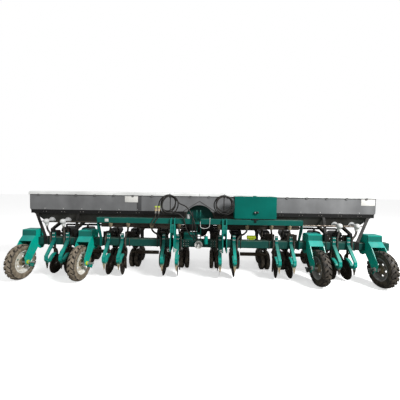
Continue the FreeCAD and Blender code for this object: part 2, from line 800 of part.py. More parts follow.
def make_seed_hoppers():
    """Seed meter of each row unit with its domed plastic bin on top."""
    meter = cylinder(
        "dim.meter_radius", "dim.meter_width", "-dim.meter_width / 2", "dim.meter_y", SEED_METER_Z
    )
    neck = [
        ("dim.meter_y - 60", f"{SEED_METER_Z} + 60"),
        ("dim.meter_y + 60", f"{SEED_METER_Z} + 60"),
        ("dim.meter_y + 100", f"{SEED_METER_Z} + 190"),
        ("dim.meter_y - 70", f"{SEED_METER_Z} + 190"),
    ]
    bin_side = [
        ("dim.meter_y - 100", f"{SEED_METER_Z} + 175"),
        ("dim.meter_y + 100", f"{SEED_METER_Z} + 175"),
        ("dim.meter_y + 140", f"{SEED_METER_Z} + 205"),
        ("dim.meter_y + 140", f"{SEED_METER_Z} + 235", "30"),
        ("dim.meter_y + 110", f"{SEED_METER_Z} + 265"),
        ("dim.meter_y - 110", f"{SEED_METER_Z} + 265", "30"),
        ("dim.meter_y - 140", f"{SEED_METER_Z} + 235"),
        ("dim.meter_y - 140", f"{SEED_METER_Z} + 205"),
    ]
    wide = "dim.seed_box_width / 2"
    dome = [
        (f"-{wide}", f"{SEED_METER_Z} + 170"),
        (wide, f"{SEED_METER_Z} + 170"),
        (wide, f"{SEED_METER_Z} + 212", "dim.seed_bin_crown"),
        (f"-{wide}", f"{SEED_METER_Z} + 212"),
    ]
    funnel = extrude("side", neck, "dim.meter_width", x="-dim.meter_width / 2")
    seed_bin = common(
        extrude("side", bin_side, "dim.seed_box_width", x=f"-{wide}"),
        extrude("front", dome, "300", y="dim.meter_y + 150"),
    )
    subpart("seed_hoppers", *repeat(fuse(seed_bin, funnel, meter), row_places()))


def hopper_section(wall="0", over="0"):
    """Side profile of the hopper, taken in by a wall and reaching over its top."""
    front = f"dim.hopper_front + {wall}"
    rear = f"dim.hopper_front + dim.hopper_depth - {wall}"
    return [
        (front, f"dim.hopper_top + {over}"),
        (front, "dim.hopper_knee"),
        (f"{front} + 22", "dim.hopper_waist"),
        (f"dim.trough_front + {wall}", f"dim.hopper_bottom + {wall}"),
        (f"dim.trough_rear - {wall}", f"dim.hopper_bottom + {wall}"),
        (rear, "dim.hopper_knee"),
        (rear, f"dim.hopper_top + {over}"),
    ]


def hopper_front_view(wall="0"):
    """Front profile of the hopper: its ends draw in below the waist."""
    right = [
        (f"{HOPPER_END} - {wall}", "dim.hopper_top + 1"),
        (f"{HOPPER_END} - {wall}", "dim.hopper_knee + 30"),
        (f"{HOPPER_END} - 65 - {wall}", "dim.hopper_waist"),
        (f"{HOPPER_END} - 300 - {wall}", "dim.hopper_bottom - 1"),
    ]
    return right + [(f"-({x})", z) for x, z in reversed(right)]


def arch(radius):
    """The tunnel under the hopper's middle, where the mast and the fan stand."""
    depth = "(dim.hopper_front + dim.hopper_depth + 100)"
    corners = [
        (radius, "dim.arch_z"),
        (f"-({radius})", "dim.arch_z"),
        (f"-({radius})", "dim.hopper_bottom - 20"),
        (radius, "dim.hopper_bottom - 20"),
    ]
    base = extrude("front", corners, depth, y=depth)
    vault = cylinder(radius, depth, "0", "0", "dim.arch_z", along="y")
    return fuse(base, vault)


def hopper_body(wall="0", over="0"):
    """The hopper as a block, or its inside when taken in by the wall."""
    return common(
        extrude("side", hopper_section(wall, over), f"2 * {HOPPER_END}", x=f"-{HOPPER_END}"),
        extrude("front", hopper_front_view(wall), "1000", y="1000"),
    )


def make_fertilizer_hopper():
    """Sheet hopper with an arch through its middle, a rim and a gable trim over the arch."""
    hollow = cut(hopper_body("dim.hopper_wall", "1"), arch("dim.arch_radius + dim.hopper_wall"))
    gable = [
        ("-dim.arch_radius - 40", "dim.hopper_knee + 10"),
        ("dim.arch_radius + 40", "dim.hopper_knee + 10"),
        ("40", "dim.arch_z + dim.arch_radius + 80"),
        ("-40", "dim.arch_z + dim.arch_radius + 80"),
    ]
    trim = extrude("front", gable, "6", y="dim.hopper_front")
    shell = cut(fuse(hopper_body(), hopper_rim(), trim), hollow, arch("dim.arch_radius"))
    subpart("fertilizer_hopper", shell)


def hopper_rim():
    """Flat rim round the hopper's mouth that the lids rest on."""
    return box(
        f"-{HOPPER_END} - dim.lid_overlap", HINGE_Y, "dim.hopper_top - dim.rim_plate",
        f"2 * ({HOPPER_END} + dim.lid_overlap)", "dim.hopper_depth + 2 * dim.lid_overlap",
        "dim.rim_plate",
    )


def hinge_places():
    """Nine hinges along each lid."""
    return [f"190 + {number} * ({HOPPER_END} - 380) / 8" for number in range(9)]


def make_lid_hinges():
    """Hinges of the right lid: each a leaf under the hopper's rim with a barrel on its front edge."""
    barrel = cylinder("dim.hinge_radius", "40", "-20", HINGE_Y, HINGE_Z)
    leaf = box("-20", HINGE_Y, "dim.hopper_top - 30", "40", "dim.lid_overlap", "30")
    return repeat(cut(fuse(barrel, leaf), hopper_rim()), hinge_places())


def make_hopper_lids():
    """Two pan lids, hinged along the hopper's front edge."""
    gap = cylinder("dim.hinge_radius + 1", "44", "-22", HINGE_Y, HINGE_Z)
    right = cut(lid_body(), lid_body("dim.lid_wall"), *repeat(gap, hinge_places()))
    subpart("hopper_lid_right", right)
    subpart("hopper_lid_left", mirror(right))


def lid_body(wall="0"):
    """The right lid's outer form, or the hollow under it when taken in by its wall."""
    front = f"dim.hopper_front - dim.lid_overlap + {wall}"
    rear = f"dim.hopper_front + dim.hopper_depth + dim.lid_overlap - {wall}"
    foot = HINGE_Z if wall == "0" else "dim.hopper_top - 1"
    profile = [
        (front, foot),
        (rear, foot),
        (rear, "dim.hopper_top + dim.lid_height - 18"),
        (f"{rear} - 40", f"dim.hopper_top + dim.lid_height - {wall}"),
        (f"{front} + 40", f"dim.hopper_top + dim.lid_height - {wall}"),
        (front, "dim.hopper_top + dim.lid_height - 18"),
    ]
    length = f"{HOPPER_END} + dim.lid_overlap - 3 - 2 * {wall}"
    return extrude("side", profile, length, x=f"3 + {wall}")


def support_places():
    """Brackets beside the control box's ends and near the outer wheels' forks."""
    return ["815", "1150", "(2 * dim.ridge_pitch + 300)", "(2 * dim.ridge_pitch + 780)"]


def make_hopper_supports():
    """Black brackets, struts and angle irons that carry the hopper on the toolbar, and the
    hinges of its lids."""
    leg = [
        ("-20", BAR_TOP),
        ("60", BAR_TOP),
        ("60", f"{BAR_TOP} + 145"),
        ("dim.trough_rear", "dim.hopper_bottom - 14"),
        ("dim.trough_rear", "dim.hopper_bottom"),
        ("dim.trough_front", "dim.hopper_bottom"),
        ("-20", f"{BAR_TOP} + 163"),
    ]
    bracket = extrude("side", leg, "dim.support_width", x="-dim.support_width / 2")
    strut = [
        ("-20", f"{BAR_TOP} + 105"),
        ("0", f"{BAR_TOP} + 105"),
        ("dim.hopper_front + 6", FLANGE_Z),
        ("dim.hopper_front - 14", FLANGE_Z),
    ]
    tall = fuse(bracket, extrude("side", strut, "dim.support_width", x="-dim.support_width / 2"))
    places = support_places()
    right = [copy(bracket, places[0]), copy(bracket, places[1]), copy(tall, places[2])]
    right += [copy(bracket, places[3]), make_end_strut(), make_front_angle(), *make_lid_hinges()]
    rear = cut(make_rear_angle(), arch("dim.arch_radius"))
    subpart("hopper_supports", *right, *[mirror(piece) for piece in right], rear)


def make_end_strut():
    """Flat bar that leans from the toolbar's front face out to the hopper's corner."""
    foot_x, head_x = f"({OUTER_FURROW} - 230)", f"({OUTER_FURROW} + 80)"
    bar = doc.addObject("Part::Loft", "strut")
    bar.Sections = [
        flat_section(foot_x, f"({BAR_FRONT} - 12)", f"{BAR_TOP} + 15"),
        flat_section(head_x, "(dim.hopper_front - 6)", FLANGE_Z),
    ]
    bar.Solid = True
    bar.Ruled = True
    foot = box(f"{foot_x} - 30", f"{BAR_FRONT} - 12", f"{BAR_TOP} - 135", "60", "12", "150")
    return fuse(bar, foot)


def flat_section(x, y, z):
    """Level cut through a flat bar, 60 wide and 12 thick."""
    corners = [(f"{x} - 30", y), (f"{x} + 30", y), (f"{x} + 30", f"{y} + 12"), (f"{x} - 30", f"{y} + 12")]
    return move(outline("top", corners), z=z)


def make_front_angle():
    """Angle iron under the knee of the hopper's front, from the arch to the hopper's end."""
    front, top = "dim.hopper_front - 6", "dim.hopper_knee + 8"
    profile = [
        (front, FLANGE_Z),
        (f"{front} + 25", FLANGE_Z),
        (f"{front} + 25", f"{FLANGE_Z} + 6"),
        (f"{front} + 6", f"{FLANGE_Z} + 6"),
        (f"{front} + 6", top),
        (front, top),
    ]
    start = "(dim.arch_radius + 10)"
    return extrude("side", profile, f"{HOPPER_END} - 30 - {start}", x=start)


def make_rear_angle():
    """Angle iron under the knee of the hopper's rear."""
    rear, top = "dim.hopper_front + dim.hopper_depth", "dim.hopper_knee + 8"
    profile = [
        (f"{rear} - 48", FLANGE_Z),
        (f"{rear} + 6", FLANGE_Z),
        (f"{rear} + 6", top),
        (rear, top),
        (rear, f"{FLANGE_Z} + 6"),
        (f"{rear} - 48", f"{FLANGE_Z} + 6"),
    ]
    run = f"({HOPPER_END} - 30)"
    return extrude("side", profile, f"2 * {run}", x=f"-{run}")


def meter_places():
    """Metering units from right to left on the right half, over the openers that they feed."""
    outer, middle, inner = ridge_x(5), ridge_x(4), ridge_x(3)
    return [f"{outer} + 350", f"{outer} + 10", f"{middle} + 142", f"{middle} - 215",
            f"{inner} + 406", f"{inner} - 145"]


def make_fertilizer_meters():
    """Metering units seated on the hopper's sloping front, each with an elbow that points down."""
    knee, foot = ("dim.hopper_front + 22", "dim.hopper_waist"), ("dim.trough_front", "dim.hopper_bottom")
    skin = [knee, (f"{knee[0]} - 15", knee[1]), (f"{foot[0]} - 15", foot[1]), foot]
    flange = common(
        cylinder("58", "200", "0", "60", METER_Z, along="y"),
        extrude("side", skin, "140", x="-70"),
    )
    neck = cylinder("34", "200", "0", METER_Y, METER_Z, along="y")
    dome = sphere("36", "0", METER_Y, METER_Z)
    cap = cylinder("24", "20", "0", f"{METER_Y} - 46", METER_Z, along="y")
    spout = cylinder("24", f"{METER_Z} - {HOSE_TOP}", "0", METER_Y, HOSE_TOP, along="z")
    collar = cylinder("29", "16", "0", METER_Y, f"{HOSE_TOP} + 8", along="z")
    block = extrude("side", hopper_section(), "200", x="-100")
    unit = cut(fuse(flange, neck, dome, cap, spout, collar), block)
    right = repeat(unit, meter_places())
    subpart("fertilizer_meters", *right, *[mirror(piece) for piece in right])


def tube(points, radius):
    """A solid tube along straight runs joined by tangent arcs."""
    spots = [FreeCAD.Vector(*(value(number) for number in point)) for point in points]
    edges, last = [], spots[0]
    for before, corner, after in zip(spots, spots[1:], spots[2:]):
        back, ahead = before - corner, after - corner
        setback = RUN_SHARE * min(back.Length, ahead.Length)
        back.normalize()
        ahead.normalize()
        half_turn = (math.pi - back.getAngle(ahead)) / 2
        arc_radius = setback / math.tan(half_turn)
        middle = (back + ahead).normalize()
        depth = arc_radius / math.cos(half_turn) - arc_radius
        start, end = corner + back * setback, corner + ahead * setback
        edges.append(Part.LineSegment(last, start).toShape())
        edges.append(Part.Arc(start, corner + middle * depth, end).toShape())
        last = end
    edges.append(Part.LineSegment(last, spots[-1]).toShape())
    wire = Part.Wire(edges)
    section = Part.Face(Part.Wire(Part.Circle(spots[0], spots[1] - spots[0], radius).toShape()))
    made = doc.addObject("Part::Feature", "tube")
    made.Shape = wire.makePipe(section)
    expected = math.pi * radius**2 * wire.Length
    if abs(made.Shape.Volume - expected) > 0.01 * expected:
        raise RuntimeError(f"tube: volume {made.Shape.Volume:.0f}, expected {expected:.0f}")
    return made


def make_hoses():
    """Ribbed fertilizer hoses, each past the toolbar's front to its opener, and the hydraulic
    line that runs from the left coil down to the gearbox."""
    pieces = []
    for number, (meter_x, opener_x) in enumerate(zip(meter_places(), opener_places()[:RIDGES - 1:-1])):
        side = "+" if value(meter_x) > value(opener_x) else "-"
        beside = f"{opener_x} {side} 60"
        boot_x = f"{opener_x} {'+' if number % 2 else '-'} ({BOOT_X})"
        points = [
            (meter_x, METER_Y, HOSE_TOP),
            (meter_x, METER_Y, "890"),
            (f"({meter_x}) * 0.1 + ({beside}) * 0.9", f"{BAR_FRONT} - 5", "815"),
            (beside, f"{BAR_FRONT} - 37", "725"),
            (beside, f"{BAR_FRONT} - 36", "635"),
            (beside, f"{BAR_FRONT} - 5", "540"),
            (f"{opener_x} {side} 56", "12", "505"),
            (boot_x, BOOT_Y, "466"),
            (boot_x, BOOT_Y, BOOT_TOP),
        ]
        hose = tube(points, value("dim.hose_radius"))
        pieces += [hose, mirror(hose)]
    coil_x = f"({COIL_PLACES['left']} + dim.coil_radius + dim.coil_thickness / 2 - {COIL_FLAT})"
    line = [
        (coil_x, COIL_Y, "dim.coil_z"),
        (f"{coil_x} + 60", COIL_Y, "dim.coil_z"),
        (f"{coil_x} + 135", f"{COIL_Y} - 9", "dim.coil_z - 48"),
        (f"{coil_x} + 198", f"{COIL_Y} - 21", "dim.coil_z - 135"),
        (f"{coil_x} + 247", f"{COIL_Y} - 34", "dim.coil_z - 225"),
        ("-80", "dim.rail_y - dim.rail_side / 2 - 29", "1130"),
        ("-62", "-300", "1020"),
        ("-57", "-240", "930"),
        ("-50", "-190", "850"),
        ("-46", "-170", "800"),
        ("-46", "-170", BAR_TOP),
    ]
    subpart("hoses", *pieces, tube(line, value("dim.line_radius")))


def make_hose_coils():
    """Hydraulic hose and cable, each wound in a ring and hung on its stand. The left one's
    couplers lie against its front."""
    thick = "dim.coil_thickness / 2"
    ring = doc.addObject("Part::Torus", "ring")
    bind(ring, Radius1="dim.coil_radius", Radius2=thick)
    ring.Placement.Rotation = FreeCAD.Rotation(FreeCAD.Vector(1, 0, 0), 90)
    subpart("hose_coil_right", copy(ring, COIL_PLACES["right"], COIL_Y, "dim.coil_z"))
    flat = box(f"dim.coil_radius + {thick} - {COIL_FLAT}", "-30", "-30", "30", "60", "60")
    left = copy(cut(ring, flat), COIL_PLACES["left"], COIL_Y, "dim.coil_z")
    coupler = fuse(
        cylinder("11", "50", z="-130", along="z"),
        cylinder("dim.coupler_radius", "80", z="-85", along="z"),
        cylinder("13", "14", z="-5", along="z"),
    )
    front = f"{COIL_Y} - {thick} - {SEAT} - dim.coupler_radius"
    pair = [copy(coupler, f"{COIL_PLACES['left']} - {x}", front, "dim.coil_z - 50") for x in (105, 145)]
    subpart("hose_coil_left", left, *pair)


def make_control_box():
    """Sheet box on the front rail with a door hinged along its top edge."""
    wide = "(dim.box_right - dim.box_left)"
    back = f"(dim.box_front + dim.box_door + {SEAT})"
    outer = box("dim.box_left", back, "dim.box_bottom", wide, "dim.box_depth", "dim.box_height")
    inner = box(
        "dim.box_left + dim.box_wall", "dim.box_front + dim.box_door", "dim.box_bottom + dim.box_wall",
        f"{wide} - 2 * dim.box_wall", "dim.box_depth + 1 - dim.box_wall",
        "dim.box_height - 2 * dim.box_wall",
    )
    rail_top, middle = "(dim.rail_z + dim.rail_side / 2)", f"(dim.box_left + {wide} / 2)"
    foot = box(f"{middle} - 60", "dim.rail_y - 30", rail_top, "120", "60", f"dim.box_bottom - {rail_top}")
    eye = box(f"{middle} - 30", f"{back} + 90", BOX_TOP, "60", "24", "14")
    hinge_y = "(dim.box_front + dim.box_door)"
    barrel = cylinder("dim.hinge_radius", "60", "-30", hinge_y, BOX_TOP)
    gap = cylinder("dim.hinge_radius + 1", "64", "-32", hinge_y, BOX_TOP)
    places = ["dim.box_left + 120", middle, "dim.box_right - 120"]
    body = cut(outer, inner)
    subpart("control_box", fuse(body, foot, eye, *repeat(barrel, places)))
    door = box("dim.box_left", "dim.box_front", "dim.box_bottom", wide, "dim.box_door", "dim.box_height")
    latch = cylinder("18", "12", middle, "dim.box_front - 12", "dim.box_bottom + 118", along="y")
    grip = box(f"{middle} - 7", "dim.box_front - 22", "dim.box_bottom + 84", "14", "12", "50")
    subpart("control_box_door", cut(fuse(door, latch, grip), *repeat(gap, places)))


def make_fan():
    """Suction fan under the hopper's arch, the driveline from the tractor, the pump motor
    between the hopper's brackets and the gearbox's oil cup."""
    radius = "(dim.arch_radius - 8)"
    panel = extrude(
        "front",
        [
            (f"-{radius}", "860"),
            (radius, "860"),
            (radius, "dim.arch_z", radius),
            (f"-{radius}", "dim.arch_z"),
        ],
        "6",
        y="246",
    )
    scroll = cylinder("230", "130", "0", "246", "1130", along="y")
    drive = cylinder("dim.drive_radius", "160", "65", "80", "900", along="y")
    foot = box("-140", f"{BAR_FRONT} + 35", BAR_TOP, "12", "325 - dim.bar_side / 2", "130")
    fan = fuse(panel, scroll, drive, foot, mirror(foot))
    gearbox = box("-55", f"{BAR_FRONT} - 130", f"{BAR_TOP} - 105", "110", "130", "105")
    shaft = cylinder("dim.shaft_radius", "130", "0", f"{BAR_FRONT} - 260", "690", along="y")
    motor_z = f"({BAR_TOP} + 55)"
    motor = cylinder("dim.motor_radius", "170", "955", "0", motor_z)
    saddle = box("1000", "-20", BAR_TOP, "90", "40", "40")
    cup = cylinder("dim.motor_radius", "150", "140", f"{BAR_FRONT} - 55", "680", along="z")
    arm = box("120", f"{BAR_FRONT} - 30", "700", "40", "30", "30")
    subpart("fan_and_driveline", fan, fuse(gearbox, shaft), fuse(motor, saddle), fuse(cup, arm))


def check_and_export():
    """Stops on any failed object, then writes each sub-part to its own file."""
    doc.recompute()
    for thing in doc.Objects:
        if {"Invalid", "Error"} & set(thing.State):
            raise RuntimeError(f"{thing.Name} ({thing.Label}) failed: {thing.State}")
    os.makedirs("parts", exist_ok=True)
    finished = [thing for thing in doc.Objects if hasattr(thing, "Finished")]
    for thing in finished:
        if thing.Shape.isNull() or not thing.Shape.isValid() or not thing.Shape.Solids:
            raise RuntimeError(f"{thing.Label} has no valid shape")
        thing.Shape.exportStep(f"parts/{thing.Label}.step")
    print(f"{len(finished)} sub-parts written")


fill_sheet()
make_toolbar()
make_headstock()
make_front_rail()
make_wheels()
make_forks()
make_opener_shanks()
make_opener_discs()
make_row_brackets()
make_parallel_arms()
make_row_frames()
make_gauge_wheels()
make_press_wheels()
make_seed_hoppers()
make_fertilizer_hopper()
make_hopper_lids()
make_hopper_supports()
make_fertilizer_meters()
make_hoses()
make_hose_coils()
make_control_box()
make_fan()
check_and_export()
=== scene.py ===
import json
import math

import bmesh
import bpy
from mathutils import Matrix, Vector


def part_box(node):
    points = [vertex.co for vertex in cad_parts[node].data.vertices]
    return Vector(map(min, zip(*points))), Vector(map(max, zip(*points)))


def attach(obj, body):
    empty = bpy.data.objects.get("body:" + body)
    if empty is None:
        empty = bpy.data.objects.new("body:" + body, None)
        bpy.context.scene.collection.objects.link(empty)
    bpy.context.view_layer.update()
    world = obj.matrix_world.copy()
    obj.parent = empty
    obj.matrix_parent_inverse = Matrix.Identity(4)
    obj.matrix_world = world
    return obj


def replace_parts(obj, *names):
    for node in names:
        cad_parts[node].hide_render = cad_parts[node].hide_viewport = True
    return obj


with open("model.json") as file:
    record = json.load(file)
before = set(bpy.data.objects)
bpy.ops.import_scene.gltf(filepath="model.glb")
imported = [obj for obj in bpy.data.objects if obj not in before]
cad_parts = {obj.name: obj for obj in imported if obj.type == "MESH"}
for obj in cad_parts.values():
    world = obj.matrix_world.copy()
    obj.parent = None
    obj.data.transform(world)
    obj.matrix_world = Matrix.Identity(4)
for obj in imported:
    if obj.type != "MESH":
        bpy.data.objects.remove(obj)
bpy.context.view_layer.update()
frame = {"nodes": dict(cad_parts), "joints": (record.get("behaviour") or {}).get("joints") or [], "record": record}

# Looks of the twelve-row precision planter. Lengths are in metres in the row frame, +Z up, with
# the tractor end towards -Y. Places written in machine coordinates (x = 0 on the hitch's centre
# plane, y = 0 on the toolbar's centre line) go through at().

NODES = frame["nodes"]
JOINTS = {joint["child"]: joint for joint in frame["joints"]}
MOUNTS = {mount["name"]: mount for mount in frame["record"]["mounts"]}
BAR_LOW, BAR_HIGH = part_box("toolbar")
ORIGIN = Vector((MOUNTS["top_link"]["pos_m"][0], (BAR_LOW.y + BAR_HIGH.y) / 2, 0))
BAR_FRONT = BAR_LOW.y - ORIGIN.y
FRONT, UP, RIGHT = Vector((0, -1, 0)), Vector((0, 0, 1)), Vector((1, 0, 0))
SIDES = (-1, 1)

RIDGE_PITCH = 1.1
OPENER_SHIFT, ROW_SHIFT = 0.138, 0.225  # from a ridge's middle
RIDGES = [(ridge - 2.5) * RIDGE_PITCH for ridge in range(6)]
OPENERS = [ridge + side * OPENER_SHIFT for ridge in RIDGES for side in SIDES]
ROWS = [ridge + side * ROW_SHIFT for ridge in RIDGES for side in SIDES]
METERS = (3.100, 2.760, 1.792, 1.435, 0.956, 0.405)  # right half, outermost first
METER_Y = 0.010
OUTER_METERS = 2.5  # the meters beyond this have domes
WHEELS = ("wheel_left_outer", "wheel_left_inner", "wheel_right_inner", "wheel_right_outer")
WHEEL_Y, WHEEL_RADIUS = -0.360, 0.3275
FORK_HALF = 0.130
COIL_LEFT, COIL_RIGHT = -0.545, 0.468
COIL_Y, COIL_Z = -0.2813, 1.460
GLAND = (0.665, -0.262, 1.588)  # where the cable leaves the control box
COUPLERS = (-0.745, -0.802)
HOPPER_KNEE, HOPPER_TOP, HOPPER_FRONT, HOPPER_BACK = 1.276, 1.600, 0.110, 0.640
ARCH_RADIUS, ARCH_TOP, ARCH_FOOT = 0.296, 1.416, 1.000
RAIL_MIDDLE, RAIL_FACE = -0.262, -0.302
HITCH_X, HITCH_HALF, PIN = 0.4825, 0.042, (-0.390, 0.620)
SEED_Y, SEED_METER_Z = 0.560, 0.590


def at(x, y, z):
    """A place in machine coordinates, in the row frame."""
    return ORIGIN + Vector((x, y, z))


def all_at(route):
    return [at(*place) for place in route]


# -------- camera, light and floor

CAMERA_PLACE = (0.125, -4.586, 1.713)
CAMERA_YAW, CAMERA_PITCH, CAMERA_ROLL = 0.0250, -0.0401, -0.0136
CAMERA_LENS = 20.77
AMBIENT = 0.42
FLOOR_HALF, FLOOR_BOUNCE, FLOOR_GLOW = 60, (0.20, 0.19, 0.17), 0.55


def add(name, data):
    made = bpy.data.objects.new(name, data)
    bpy.context.scene.collection.objects.link(made)
    return made


def make_camera():
    data = bpy.data.cameras.new("camera")
    data.sensor_width = 36
    data.lens = CAMERA_LENS
    data.clip_end = 200
    aim = (
        Matrix.Rotation(CAMERA_YAW, 4, "Z")
        @ Matrix.Rotation(CAMERA_PITCH, 4, "X")
        @ Matrix.Rotation(CAMERA_ROLL, 4, "Y")
        @ Matrix.Rotation(math.pi / 2, 4, "X")
    )
    camera = add("camera", data)
    camera.matrix_world = Matrix.Translation(at(*CAMERA_PLACE)) @ aim
    bpy.context.scene.camera = camera


def make_lamp(name, place, target, strength, size):
    data = bpy.data.lights.new(name, "AREA")
    data.energy = strength
    data.size = size
    lamp = add(name, data)
    lamp.location = at(*place)
    lamp.rotation_mode = "QUATERNION"
    lamp.rotation_quaternion = (at(*target) - lamp.location).to_track_quat("-Z", "Y")


def make_world():
    """Plain pale surroundings: white to the camera and through glass, softer as a light."""
    world = bpy.data.worlds.new("studio")
    bpy.context.scene.world = world
    world.use_nodes = True
    nodes, links = world.node_tree.nodes, world.node_tree.links
    background = nodes["Background"]
    background.inputs["Color"].default_value = (1, 1, 1, 1)
    path = nodes.new("ShaderNodeLightPath")
    seen = nodes.new("ShaderNodeMath")
    seen.operation = "MAXIMUM"
    links.new(path.outputs["Is Camera Ray"], seen.inputs[0])
    links.new(path.outputs["Is Transmission Ray"], seen.inputs[1])
    strength = nodes.new("ShaderNodeMapRange")
    strength.inputs["To Min"].default_value = AMBIENT
    strength.inputs["To Max"].default_value = 1.0
    links.new(seen.outputs[0], strength.inputs["Value"])
    links.new(strength.outputs[0], background.inputs["Strength"])


def make_floor():
    """Pale floor. It reads near white and takes a faint shadow; the light that it throws back up
    is that of plain ground."""
    mesh = bpy.data.meshes.new("floor")
    corners = [(FLOOR_HALF * x, FLOOR_HALF * y, 0) for x, y in ((-1, -1), (1, -1), (1, 1), (-1, 1))]
    mesh.from_pydata(corners, [], [(0, 1, 2, 3)])
    floor = add("floor", mesh)
    made = Surface("floor")
    seen = made.node("ShaderNodeLightPath").outputs["Is Camera Ray"]
    tone = made.blend(made.noise(0.7, 4), (0.90, 0.90, 0.90), (0.94, 0.94, 0.94))
    made.colour(made.blend(seen, FLOOR_BOUNCE, tone))
    made.set(Roughness=0.9)
    made.feed(made.shader.inputs["Emission Color"], (1, 1, 1))
    made.feed(made.shader.inputs["Emission Strength"], made.math("MULTIPLY", seen, FLOOR_GLOW))
    mesh.materials.append(made.material)


# -------- materials


class Surface:
    """A node material under construction, with short names for the nodes used here."""

    def __init__(self, name):
        self.material = bpy.data.materials.new(name)
        self.material.use_nodes = True
        self.tree = self.material.node_tree
        self.shader = self.tree.nodes["Principled BSDF"]
        self.place = self.node("ShaderNodeTexCoord").outputs["Object"]
        split = self.node("ShaderNodeSeparateXYZ")
        self.feed(split.inputs[0], self.place)
        self.along = {
            letter: self.math("SUBTRACT", split.outputs[letter.upper()], offset)
            for letter, offset in zip("xyz", ORIGIN)
        }

    def node(self, kind, **settings):
        made = self.tree.nodes.new(kind)
        for name, setting in settings.items():
            setattr(made, name, setting)
        return made

    def feed(self, socket, source):
        """Links a socket to another one, or sets it to a plain number or colour."""
        if isinstance(source, bpy.types.NodeSocket):
            self.tree.links.new(source, socket)
        elif isinstance(source, tuple) and socket.type == "RGBA":
            socket.default_value = (*source, 1)
        else:
            socket.default_value = source

    def set(self, **values):
        for name, setting in values.items():
            self.feed(self.shader.inputs[name.replace("_", " ")], setting)

    def colour(self, source):
        self.feed(self.shader.inputs["Base Color"], source)

    def noise(self, scale, detail=4, stretch=(1, 1, 1)):
        mapping = self.node("ShaderNodeMapping")
        self.feed(mapping.inputs["Vector"], self.place)
        mapping.inputs["Scale"].default_value = stretch
        made = self.node("ShaderNodeTexNoise")
        self.feed(made.inputs["Vector"], mapping.outputs[0])
        made.inputs["Scale"].default_value = scale
        made.inputs["Detail"].default_value = detail
        return made.outputs["Fac"]

    def math(self, operation, first, second=0.0, clamp=False):
        made = self.node("ShaderNodeMath", operation=operation, use_clamp=clamp)
        self.feed(made.inputs[0], first)
        self.feed(made.inputs[1], second)
        return made.outputs[0]

    def ramp(self, source, low, high, to_low=0.0, to_high=1.0):
        made = self.node("ShaderNodeMapRange")
        self.feed(made.inputs["Value"], source)
        limits = {"From Min": low, "From Max": high, "To Min": to_low, "To Max": to_high}
        for name, limit in limits.items():
            made.inputs[name].default_value = limit
        return made.outputs[0]

    def patches(self, scale, detail, *limits):
        """Noise, spread over a range as ramp does it."""
        return self.ramp(self.noise(scale, detail), *limits)

    def above(self, letter, limit):
        """1 where the machine coordinate is over the limit."""
        return self.ramp(self.along[letter], limit - HALF_STEP, limit + HALF_STEP)

    def below(self, letter, limit):
        return self.ramp(self.along[letter], limit + HALF_STEP, limit - HALF_STEP)

    def all_of(self, first, *others):
        for other in others:
            first = self.math("MULTIPLY", first, other)
        return first

    def zone(self, **limits):
        """1 between the two limits of each machine coordinate. None is no limit."""
        tests = []
        for letter, (low, high) in limits.items():
            tests += [] if low is None else [self.above(letter, low)]
            tests += [] if high is None else [self.below(letter, high)]
        return self.all_of(*tests)

    def blend(self, share, first, second):
        made = self.node("ShaderNodeMix", data_type="RGBA")
        self.feed(made.inputs[0], share)
        self.feed(made.inputs[6], first)
        self.feed(made.inputs[7], second)
        return made.outputs[2]

    def cover(self, under, over, mask, share):
        """A second colour over the first, where the mask holds and as strong as the share."""
        return self.blend(self.math("MULTIPLY", mask, share), under, over)

    def shaded(self, colour, scale, least, most):
        """A colour that varies between two shades of itself."""
        made = self.node("ShaderNodeMix", data_type="RGBA", blend_type="MULTIPLY")
        made.inputs[0].default_value = 1.0
        self.feed(made.inputs[6], colour)
        tone = self.patches(scale, 5, 0.33, 0.67)
        self.feed(made.inputs[7], self.blend(tone, (least,) * 3, (most,) * 3))
        return made.outputs[2]

    def upward(self):
        """1 on surfaces that face up, 0 on the others."""
        split = self.node("ShaderNodeSeparateXYZ")
        self.feed(split.inputs[0], self.node("ShaderNodeNewGeometry").outputs["Normal"])
        return self.ramp(split.outputs["Z"], 0.1, 0.9)

    def edges(self, radius):
        """1 along corners, 0 on open faces."""
        bevel = self.node("ShaderNodeBevel", samples=4)
        bevel.inputs["Radius"].default_value = radius
        dot = self.node("ShaderNodeVectorMath", operation="DOT_PRODUCT")
        self.feed(dot.inputs[0], bevel.outputs[0])
        self.feed(dot.inputs[1], self.node("ShaderNodeNewGeometry").outputs["Normal"])
        return self.ramp(dot.outputs["Value"], 0.97, 0.80)

    def relief(self, source, strength, distance):
        bump = self.node("ShaderNodeBump")
        bump.inputs["Strength"].default_value = strength
        bump.inputs["Distance"].default_value = distance
        self.feed(bump.inputs["Height"], source)
        self.feed(self.shader.inputs["Normal"], bump.outputs[0])

    def radius_from(self, y, z):
        """Distance from an axis along X through y, z."""
        offsets = [self.math("SUBTRACT", self.along[letter], axis) for letter, axis in (("y", y), ("z", z))]
        squares = [self.math("MULTIPLY", offset, offset) for offset in offsets]
        return self.math("SQRT", self.math("ADD", *squares))


HALF_STEP = 0.0005  # half the width of the border between two colours
DUST = (0.33, 0.27, 0.20)
GREEN = (0.0008, 0.125, 0.100)
RAIL_GREEN = (0.003, 0.108, 0.088)
TOOLBAR_GREEN = (0.006, 0.066, 0.055)
BRIGHT_GREEN = (0.001, 0.285, 0.232)
BLACK = (0.022, 0.018, 0.014)
SOOT = (0.010, 0.010, 0.010)
SILVER = (0.50, 0.50, 0.49)
LIME = (0.50, 0.62, 0.03)
TAN = (0.36, 0.29, 0.19)


